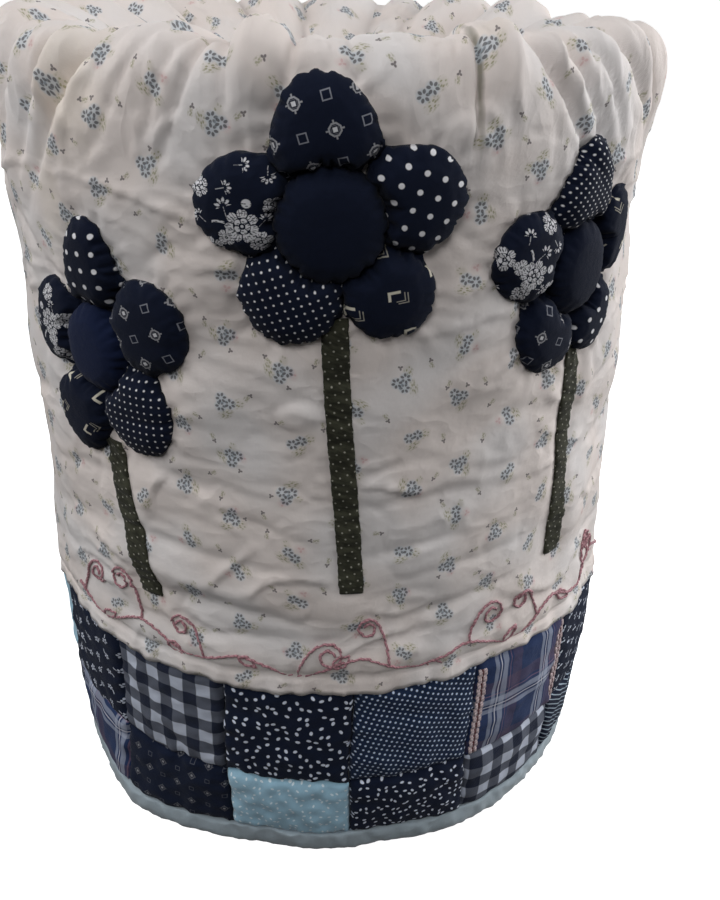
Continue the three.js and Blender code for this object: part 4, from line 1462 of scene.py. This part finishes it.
# The cotton of each stuffed piece, and how its print lies on it: degrees and millimetres.
FLOWER_CLOTHS = {
    "middle_flower_centre": Stuffing("navy_plain", 0, 0, 0),
    "middle_flower_petal_top": Stuffing("navy_foulard", -16, 7.3, 1.8),
    "middle_flower_petal_right": Stuffing("navy_polka", 0, 0, 0),
    "middle_flower_petal_lower_right": Stuffing("navy_diamond", -9, -1.8, -1.2),
    "middle_flower_petal_lower_left": Stuffing("navy_pin_dot", 25, 0, 0),
    "middle_flower_petal_left": Stuffing("navy_floral", 0, -1.5, 0),
    "left_flower_centre": Stuffing("navy_blue", 30, 0, 0),
    "left_flower_petal_top": Stuffing("navy_polka", 65, 2, 1),
    "left_flower_petal_right": Stuffing("navy_foulard", -20, 3, 2),
    "left_flower_petal_lower_right": Stuffing("navy_pin_dot", 44, 0, 0),
    "left_flower_petal_lower_left": Stuffing("navy_diamond", -54, -16.6, 4.9),
    "left_flower_petal_left": Stuffing("navy_floral", -60, 0, -3),
    "right_flower_centre": Stuffing("navy_plain", 80, 0, 0),
    "right_flower_petal_top": Stuffing("navy_fine_dot", 0, 0, 0),
    "right_flower_petal_right": Stuffing("navy_diamond", 30, 6.7, 8.4),
    "right_flower_petal_lower_right": Stuffing("navy_polka", 40, 1, 2),
    "right_flower_petal_lower_left": Stuffing("navy_foulard", 20, -3, 1),
    "right_flower_petal_left": Stuffing("navy_floral", 70, -2, -2),
}
# Cottons whose slot name, passed to add_piece, is another's.
CLOTH_SLOTS = {"navy_fine_dot": "navy_pin_dot", "navy_blue": "navy_plain"}
PETAL_SPOKES, PETAL_RINGS = 96, 17
PETAL_CROWN, CENTRE_CROWN = 4.0 * MM, 4.3 * MM
PETAL_SEAT = 0.3 * MM
# Petals are swelled at this many times their size, where the cloth solver's units suit them, and
# no point of one moves further than this share of its height.
SWELL_SCALE = 22
SWELL_CAP = 0.3
STUFFING_SETTINGS = {
    "quality": 6, "mass": 0.25, "tension_stiffness": 12, "compression_stiffness": 12,
    "shear_stiffness": 4, "bending_stiffness": 0.35, "air_damping": 4, "use_pressure": True,
    "uniform_pressure_force": 4, "vertex_group_mass": "held", "shrink_min": -0.13,
}


def petal_grid(name, piece):
    """Flat points of a stuffed piece in rings from the rim to near its middle, and its rise."""
    angle = np.arange(PETAL_SPOKES) * 2 * math.pi / PETAL_SPOKES
    drawn = random.Random(seed_of(name))
    stitches = 17 + drawn.randrange(4)
    phase = drawn.uniform(0, 6)
    scallop = 0.16 * np.abs(np.sin(angle * stitches / 2 + phase)) ** 0.7
    scallop += 0.22 * np.sin(angle * 5 + phase) + 0.12 * np.sin(angle * 9 + 2 * phase)
    reach = reach_at(piece, angle) + scallop * MM
    share = np.linspace(1, 0.045, PETAL_RINGS)[:, None] ** 0.86
    x = share * reach * np.cos(angle)
    y = share * reach * np.sin(angle)
    crown = CENTRE_CROWN if name.endswith("centre") else PETAL_CROWN
    puckers = 0.5 * np.sin(angle * stitches + phase)
    puckers = puckers + 0.5 * np.sin(angle * (stitches + 6) + 2 * phase)
    rise = crown * (1 - share**2.6) ** 0.62 * np.ones(PETAL_SPOKES)
    rise = rise + 0.26 * MM * puckers * bell(share - 0.86, 0.13)
    rise[0] = 0.0
    return x, y, rise


def dome_mesh(x, y, rise):
    """A closed dome from rings of points: its cap, and a fan underneath."""
    rings, spokes = x.shape
    points = np.stack([x, y, rise], axis=-1).reshape(-1, 3)
    tip = len(points)
    points = np.vstack([points, [0.0, 0.0, float(rise[-1].mean())], [0.0, 0.0, 0.0]])
    faces = [*quads(rings, spokes, wrap_columns=True)]
    faces += fan(np.arange(tip - spokes, tip), tip, 1)
    faces += fan(np.arange(spokes), tip + 1, -1)
    return points, faces


def stuffed_form(name, points, faces, frames):
    """A scratch dome with a cloth modifier that inflates it, its rim and underside held."""
    mesh = bpy.data.meshes.new(name + "_form")
    mesh.from_pydata((points * SWELL_SCALE).tolist(), [], [tuple(map(int, f)) for f in faces])
    form = bpy.data.objects.new(name + "_form", mesh)
    bpy.context.scene.collection.objects.link(form)
    held = form.vertex_groups.new(name="held")
    held.add([*range(PETAL_SPOKES), len(points) - 1], 1.0, "REPLACE")
    stuffing = form.modifiers.new("stuffing", "CLOTH")
    stuffing.collision_settings.use_collision = False
    stuffing.point_cache.frame_start = 1
    stuffing.point_cache.frame_end = frames
    stuffing.settings.effector_weights.gravity = 0
    for key, value in STUFFING_SETTINGS.items():
        setattr(stuffing.settings, key, value)
    return form


def swell(domes, frames):
    """Swells closed domes together with the cloth solver and gives back their points. No point
    moves further than a share of its dome's height."""
    scene = bpy.context.scene
    forms = {name: stuffed_form(name, *dome, frames) for name, dome in domes.items()}
    for step in range(1, frames + 1):
        scene.frame_set(step)
    graph = bpy.context.evaluated_depsgraph_get()
    swollen = {}
    for name, form in forms.items():
        evaluated = form.evaluated_get(graph).to_mesh()
        found = np.empty(len(evaluated.vertices) * 3)
        evaluated.vertices.foreach_get("co", found)
        form.evaluated_get(graph).to_mesh_clear()
        start = domes[name][0]
        move = found.reshape(-1, 3) / SWELL_SCALE - start
        far = np.linalg.norm(move, axis=1, keepdims=True)
        cap = SWELL_CAP * start[:, 2].max()
        swollen[name] = start + move * np.minimum(1, cap / np.maximum(far, 1e-9))
        mesh = form.data
        bpy.data.objects.remove(form)
        bpy.data.meshes.remove(mesh)
    scene.frame_set(1)
    return swollen


def on_panel(piece, points):
    """Lays flat points of a stuffed piece on the panel, its rim in the hollow of its seam."""
    azimuth = piece.azimuth + np.degrees(points[:, 0] / MEAN_RADIUS)
    length = piece.length + points[:, 1]
    raised = points[:, 2] + PETAL_SEAT
    seated = cloth_points(azimuth, length, raised)
    level = cloth_points(azimuth, length, raised, True)
    free = smooth(points[:, 2], 0, 6 * MM)[:, None]
    return seated * (1 - free) + level * free


def build_flowers(settings):
    """Every petal and centre, stuffed and then sewn on the panel."""
    domes = {name: dome_mesh(*petal_grid(name, piece)) for name, piece in STUFFED.items()}
    shapes = swell(domes, settings.petal_swell)
    for name, piece in STUFFED.items():
        flat, faces = domes[name]
        stuffing = FLOWER_CLOTHS[name]
        points = on_panel(piece, shapes[name])
        uv = turn_flat(flat[:, :2], stuffing.turn,
                       (stuffing.shift_x * MM, stuffing.shift_y * MM))
        slot = CLOTH_SLOTS.get(stuffing.cloth, stuffing.cloth)
        padded = add_piece(name + "_cloth", points, faces, cloth_material(stuffing.cloth, settings),
                           uv, slot, [name])


class JUGCOVER_OT_flowers(bpy.types.Operator):
    """Stuff the petals and centres of the three flowers and sew them on"""

    bl_idname = "jugcover.flowers"
    bl_label = "Stuffed Flowers"

    def execute(self, context):
        build_flowers(context.scene.jug_cover)
        return {"FINISHED"}


# ---- Ribbon stems ----------------------------------------------------------------------------
# How far each runs on under its flower, and the nips across each.
STEM_OVERRUN = {"middle_stem": 8 * MM, "left_stem": 5 * MM, "right_stem": 7 * MM}
STEM_NIPS = 13


def build_stem(name, settings):
    """One ribbon, creased and nipped across, along its line on the panel."""
    foot, head, half = STEM_LINES[name]
    drawn = random.Random(seed_of(name))
    rise = head[1] - foot[1] + STEM_OVERRUN[name]
    rows = round(rise / (1.1 * MM))
    along = np.linspace(0, rise, rows)[:, None]
    side = np.linspace(-1, 1, 15)[None, :]
    slope = (head[0] - foot[0]) / (head[1] - foot[1])
    bow = 0.28 * np.sin(along / rise * math.pi * 1.5 + drawn.uniform(0, 6))
    phases = [drawn.uniform(0, 6) for _ in range(4)]
    edge = sum(np.sin(along / MM * f + p) for f, p in zip((0.7, 1.13, 1.9, 0.31), phases))
    edge = edge * 0.08 * MM
    azimuth = foot[0] + slope * along + bow + np.degrees(side * (half + edge) / MEAN_RADIUS)
    length = foot[1] + along + 0 * side
    creases = sum(np.sin(along / MM * f + p + side * t) for f, p, t in
                  zip((0.9, 1.45, 2.2, 0.5), phases, (0.8, -1.1, 0.5, 1.9)))
    crisp = np.abs(creases) ** 0.7 * np.sign(creases)
    roll = 0.55 * (1 - side**6)
    raised = 0.8 + roll + 0.2 * crisp * (0.5 + 0.5 * np.abs(side))
    for _ in range(STEM_NIPS):
        place = drawn.uniform(0.06, 0.94) * rise + side * drawn.uniform(-1.4, 1.4) * MM
        deep, wide = drawn.uniform(0.4, 0.95), drawn.uniform(0.9, 2.2) * MM
        raised = raised - deep * bell(along - place, wide)
    raised = np.maximum(raised, 0.25) * MM
    outer = cloth_points(azimuth, length, raised)
    inner = cloth_points(azimuth, length, 0.12 * MM)
    points, faces = shell(outer, inner)
    flat = np.stack([side * half + 0 * along, along + 0 * side], axis=-1).reshape(-1, 2)
    ribbon = add_piece(name + "_ribbon", points, faces, cloth_material("stem_ribbon", settings),
                       np.concatenate([flat, flat]), "stem_ribbon", [name])
    2 * half


class JUGCOVER_OT_stems(bpy.types.Operator):
    """Sew on the three ribbon stems"""

    bl_idname = "jugcover.stems"
    bl_label = "Ribbon Stems"

    def execute(self, context):
        for name in STEMS:
            build_stem(name, context.scene.jug_cover)
        return {"FINISHED"}


# ---- Embroidery ------------------------------------------------------------------------------
STITCH_LENGTH = 3.9 * MM
STITCH_OVERLAP = 0.9 * MM
THREAD_RADIUS = 0.62 * MM
THREAD_SIDES = 8
VINE_LEFT, VINE_RIGHT = -54.0, 73.0
# How far from the plaid patch's upright seams its stitches and its frayed threads lie.
SEAM_STITCH_INSETS = (2.4 * MM,)
FRAY_INSETS = (0.5 * MM, 1.3 * MM, 3.5 * MM, 4.2 * MM)
FRAY_COLOUR = (0.80, 0.64, 0.66)


def vine_height(run):
    """Height of the running line over the lap, at a run along the cloth in metres."""
    turn = run / MM
    end_rise = 5.0 * abs(turn / 190) ** 2
    sway = 4.2 * math.sin(turn / 52 * 2 * math.pi)
    return (122 + sway + 1.4 * math.sin(turn / 17) + end_rise) * MM


def curl(start_x, start_y, tall, lean, first):
    """A tendril that sweeps up from the vine and winds inward into a curl."""
    side = math.copysign(1, lean)
    stalk = [(start_x + lean * t**1.6, start_y + tall * math.sin(t * math.pi / 2))
             for t in np.linspace(0, 1, 18)]
    cx, cy = stalk[-1][0], stalk[-1][1] - first
    for t in np.linspace(0.04, 1, 30):
        angle = math.pi / 2 - side * t * 1.22 * 2 * math.pi
        radius = first * (1 - 0.62 * t)
        stalk.append((cx + radius * math.cos(angle), cy + radius * math.sin(angle)))
    return stalk


def leaf_outline(x, y, tilt, long, wide):
    """A pointed leaf in outline, from its stalk end round to it again."""
    points = [(t * long, wide * math.sin(math.pi * t**0.8)) for t in np.linspace(0, 1, 12)]
    points += [(t * long, -wide * math.sin(math.pi * t**0.8)) for t in np.linspace(1, 0, 12)[1:]]
    c, s = math.cos(tilt), math.sin(tilt)
    return [(x + a * c - b * s, y + a * s + b * c) for a, b in points]


def vine_lines():
    """The embroidery as flat lines: run along the cloth and height, in metres."""
    first, last = (math.radians(a) * MEAN_RADIUS for a in (VINE_LEFT, VINE_RIGHT))
    lines = [[(run, vine_height(run)) for run in np.arange(first, last, 1.5 * MM)]]
    drawn = random.Random(12)
    place, side = first + 6 * MM, 1
    while place < last - 22 * MM:
        y = vine_height(place)
        tall = drawn.uniform(17, 27) * MM
        lines.append(curl(place, y, tall, side * drawn.uniform(9, 14) * MM,
                          drawn.uniform(4.6, 6.4) * MM))
        leaf_at = place + drawn.uniform(15, 20) * MM
        tilt = drawn.uniform(0.5, 0.9) if side > 0 else drawn.uniform(-0.8, -0.5)
        lines.append(leaf_outline(leaf_at, vine_height(leaf_at), tilt, drawn.uniform(9, 12) * MM,
                                  drawn.uniform(2.2, 3.0) * MM))
        place += drawn.uniform(34, 44) * MM
        side = -side if drawn.random() < 0.7 else side
    return lines


def seam_lines(insets):
    """Rows of stitches down each side of one patch, these far from its upright seams."""
    column = FIRST_COLUMN + UPPER_ROW.index("plaid")
    heights = np.arange(ROW_SEAM_HEIGHT + 2 * MM, LAP_FOOT - 1 * MM, 1.5 * MM)
    for inset in insets:
        for edge, side in ((column, 1), (column + 1, -1)):
            yield [(math.radians(seam_azimuth(edge, h)) * MEAN_RADIUS + side * inset, h)
                   for h in heights]


def stitch_places(line):
    """Splits a line into stem stitches, each a short run of points that laps its neighbours."""
    line = np.array(line)
    steps = np.linalg.norm(np.diff(line, axis=0), axis=1)
    run = np.concatenate([[0], np.cumsum(steps)])
    count = max(1, round(run[-1] / STITCH_LENGTH))
    ends = np.linspace(0, run[-1], count + 1)
    for a, b in itertools.pairwise(ends):
        at = np.linspace(a - STITCH_OVERLAP / 2, b + STITCH_OVERLAP / 2, 7)
        yield np.stack([np.interp(at, run, line[:, 0]), np.interp(at, run, line[:, 1])], axis=1)


def thread_tube(places, drawn, points, faces, uv, calm):
    """Adds one stitch: a strand that rises out of the cloth and dips back into it, across the
    line from one side to the other."""
    share = np.linspace(0, 1, len(places))
    run = np.gradient(places, axis=0)
    run /= np.linalg.norm(run, axis=1, keepdims=True)
    slant = (share[:, None] - 0.5) * 0.7 * MM + drawn.uniform(-0.12, 0.12) * MM
    places = places + np.stack([-run[:, 1], run[:, 0]], axis=1) * slant
    azimuth = np.degrees(places[:, 0] / MEAN_RADIUS)
    length = length_at(places[:, 1])
    height = (0.2 + 0.4 * np.sin(share * math.pi)) * MM
    middle = cloth_points(azimuth, length, height, calm)
    out = cloth_points(azimuth, length, height + 1 * MM, calm) - middle
    out /= np.linalg.norm(out, axis=1, keepdims=True)
    along = np.gradient(middle, axis=0)
    along /= np.linalg.norm(along, axis=1, keepdims=True)
    across = np.cross(along, out)
    start = len(points)
    fat = THREAD_RADIUS * drawn.uniform(0.85, 1.15) * (0.6 + 0.4 * np.sin(share * math.pi) ** 0.5)
    for i in range(len(places)):
        for k in range(THREAD_SIDES):
            angle = 2 * math.pi * k / THREAD_SIDES
            ply = 1 + 0.16 * math.cos(2 * (angle - 5 * share[i]))
            points.append(middle[i] + fat[i] * ply * (across[i] * math.cos(angle)
                                                      + out[i] * math.sin(angle)))
            uv.append((share[i] * STITCH_LENGTH, k / THREAD_SIDES * 4 * MM))
    faces += [*quads(len(places), THREAD_SIDES, wrap_columns=True, start=start)]
    faces.append(range(start + THREAD_SIDES - 1, start - 1, -1))
    faces.append(range(len(points) - THREAD_SIDES, len(points)))


def sew(name, lines, drawn, material, calm=False):
    """Makes one piece of the stem stitches of several lines."""
    points, faces, uv = [], [], []
    for line in lines:
        for places in stitch_places(line):
            thread_tube(places, drawn, points, faces, uv, calm)
    add_piece(name, points, faces, material, uv, "stitching_thread")


def build_embroidery(settings):
    """The vine over the lap, then the stitches and the frayed threads of the plaid patch."""
    drawn = random.Random(23)
    sew("embroidered_vine", vine_lines(), drawn,
        thread_cotton("stitching_thread", settings.thread_colour))
    sew("seam_stitching", seam_lines(SEAM_STITCH_INSETS), drawn,
        thread_cotton("seam_thread", settings.seam_thread_colour), True)
    sew("seam_fray", seam_lines(FRAY_INSETS), drawn,
        thread_cotton("fray_thread", FRAY_COLOUR), True)


class JUGCOVER_OT_embroidery(bpy.types.Operator):
    """Embroider the running vine over the panel's lower edge, and the seams of the plaid patch"""

    bl_idname = "jugcover.embroidery"
    bl_label = "Embroidered Vine"

    def execute(self, context):
        build_embroidery(context.scene.jug_cover)
        return {"FINISHED"}


# ---- Stage -----------------------------------------------------------------------------------
CAMERA_BACK, CAMERA_HEIGHT = 492.6 * MM, 412.1 * MM
CAMERA_PITCH, CAMERA_YAW, CAMERA_ROLL = math.radians(27.7), math.radians(1.98), math.radians(1.25)
CAMERA_LENS = 39.66
WORLD_STRENGTH = 0.02


def aim_camera():
    """The camera before and above the cover, pitched down, and slightly turned and rolled."""
    data = bpy.data.cameras.new("camera")
    data.lens = CAMERA_LENS
    data.sensor_width = 36
    data.clip_start, data.clip_end = 0.01, 50
    camera = bpy.data.objects.new("camera", data)
    ahead = Vector((math.sin(CAMERA_YAW) * math.cos(CAMERA_PITCH),
                    math.cos(CAMERA_YAW) * math.cos(CAMERA_PITCH), -math.sin(CAMERA_PITCH)))
    right = Vector((math.cos(CAMERA_YAW), -math.sin(CAMERA_YAW), 0))
    up = right.cross(ahead)
    across = right * math.cos(CAMERA_ROLL) + up * math.sin(CAMERA_ROLL)
    upright = up * math.cos(CAMERA_ROLL) - right * math.sin(CAMERA_ROLL)
    turn = Matrix((across, upright, -ahead)).transposed()
    place = Matrix.Translation((0, AXIS_Y - CAMERA_BACK, CAMERA_HEIGHT))
    camera.matrix_world = place @ turn.to_4x4()
    bpy.context.scene.collection.objects.link(camera)
    bpy.context.scene.camera = camera


Light = namedtuple("Light", "name place target size power")
LIGHTS = (
    Light("front_high", (-0.35, -1.5, 1.5), (0, 0, 0.25), (0.8, 0.8), 10.1),
    Light("top_front", (0.0, -0.35, 1.5), (0, 0, 0.2), (1.0, 0.6), 4.8),
    Light("left_side", (-1.25, 0.2, 0.6), (0, 0, 0.22), (0.8, 1.0), 4.0),
    Light("left_high", (-1.0, -0.35, 0.95), (0, 0, 0.25), (0.7, 0.7), 3.9),
    Light("right_side", (1.25, 0.35, 0.55), (0, 0, 0.22), (0.8, 1.0), 13.6),
    Light("right_front", (1.25, -0.45, 0.45), (0, 0, 0.2), (0.8, 0.9), 4.0),
    Light("behind", (0.0, 1.6, 0.7), (0, 0, 0.15), (1.4, 0.6), 9.0),
)


def add_light(name, place, target, size, power):
    """A rectangular lamp that faces its target."""
    data = bpy.data.lights.new(name, "AREA")
    data.shape = "RECTANGLE"
    data.size, data.size_y = size
    data.energy = power
    light = bpy.data.objects.new(name, data)
    light.location = place
    light.rotation_euler = (Vector(target) - Vector(place)).to_track_quat("-Z", "Y").to_euler()
    bpy.context.scene.collection.objects.link(light)


def build_floor():
    """A round pale floor that curves up into a wall all round."""
    flat, rise, wall, sides = 1.7, 1.2, 5.0, 64
    turns = np.linspace(0, math.pi / 2, 12)
    profile = [(flat / 2, 0.0)]
    profile += [(flat + rise * math.sin(a), rise * (1 - math.cos(a))) for a in turns]
    profile.append((flat + rise, wall))
    points = [(r * math.cos(a), r * math.sin(a), z) for r, z in profile
              for a in np.linspace(0, 2 * math.pi, sides, endpoint=False)]
    points.append((0.0, 0.0, 0.0))
    faces = [*quads(len(profile), sides, wrap_columns=True)]
    faces += fan(np.arange(sides), len(points) - 1, -1)
    mesh = bpy.data.meshes.new("floor")
    mesh.from_pydata(points, [], [tuple(map(int, f)) for f in faces])
    mesh.polygons.foreach_set("use_smooth", [True] * len(mesh.polygons))
    shader = Shader("floor_paper")
    mesh.materials.append(shader.finish((0.92, 0.92, 0.92), roughness=0.95, sheen=0.0, glow=0.9))
    floor = bpy.data.objects.new("floor", mesh)
    # The paper is bright to look at, and adds no light of its own to the cover.
    floor.visible_diffuse = False
    floor.visible_glossy = False
    bpy.context.scene.collection.objects.link(floor)


class JUGCOVER_OT_stage(bpy.types.Operator):
    """Set up the pale floor that curves up all round, the soft lights and the camera"""

    bl_idname = "jugcover.stage"
    bl_label = "Stage"

    def execute(self, context):
        scene = context.scene
        aim_camera()
        build_floor()
        for light in LIGHTS:
            add_light(*light)
        world = bpy.data.worlds.new("studio")
        world.use_nodes = True
        background = world.node_tree.nodes["Background"]
        background.inputs["Color"].default_value = (1, 1, 1, 1)
        background.inputs["Strength"].default_value = WORLD_STRENGTH
        scene.world = world
        scene.view_settings.view_transform = "Standard"
        return {"FINISHED"}


class JUGCOVER_PT_panel(bpy.types.Panel):
    """Lists the steps of the cover"""

    bl_idname = "JUGCOVER_PT_panel"
    bl_label = "Jug Cover"
    bl_space_type = "VIEW_3D"
    bl_region_type = "UI"
    bl_category = "Jug Cover"

    def draw(self, context):
        column = self.layout.column()
        for operator in OPERATORS:
            column.operator(operator.bl_idname)


OPERATORS = (JUGCOVER_OT_stage, JUGCOVER_OT_panel, JUGCOVER_OT_band, JUGCOVER_OT_flowers,
             JUGCOVER_OT_stems, JUGCOVER_OT_embroidery)
CLASSES = (JugCoverSettings, *OPERATORS, JUGCOVER_PT_panel)


def register():
    for item in CLASSES:
        bpy.utils.register_class(item)
    bpy.types.Scene.jug_cover = PointerProperty(type=JugCoverSettings)


def unregister():
    del bpy.types.Scene.jug_cover
    for item in reversed(CLASSES):
        bpy.utils.unregister_class(item)


def main():
    register()
    for operator in OPERATORS:
        category, name = operator.bl_idname.split(".")
        getattr(getattr(bpy.ops, category), name)()


if __name__ == "__main__":
    main()
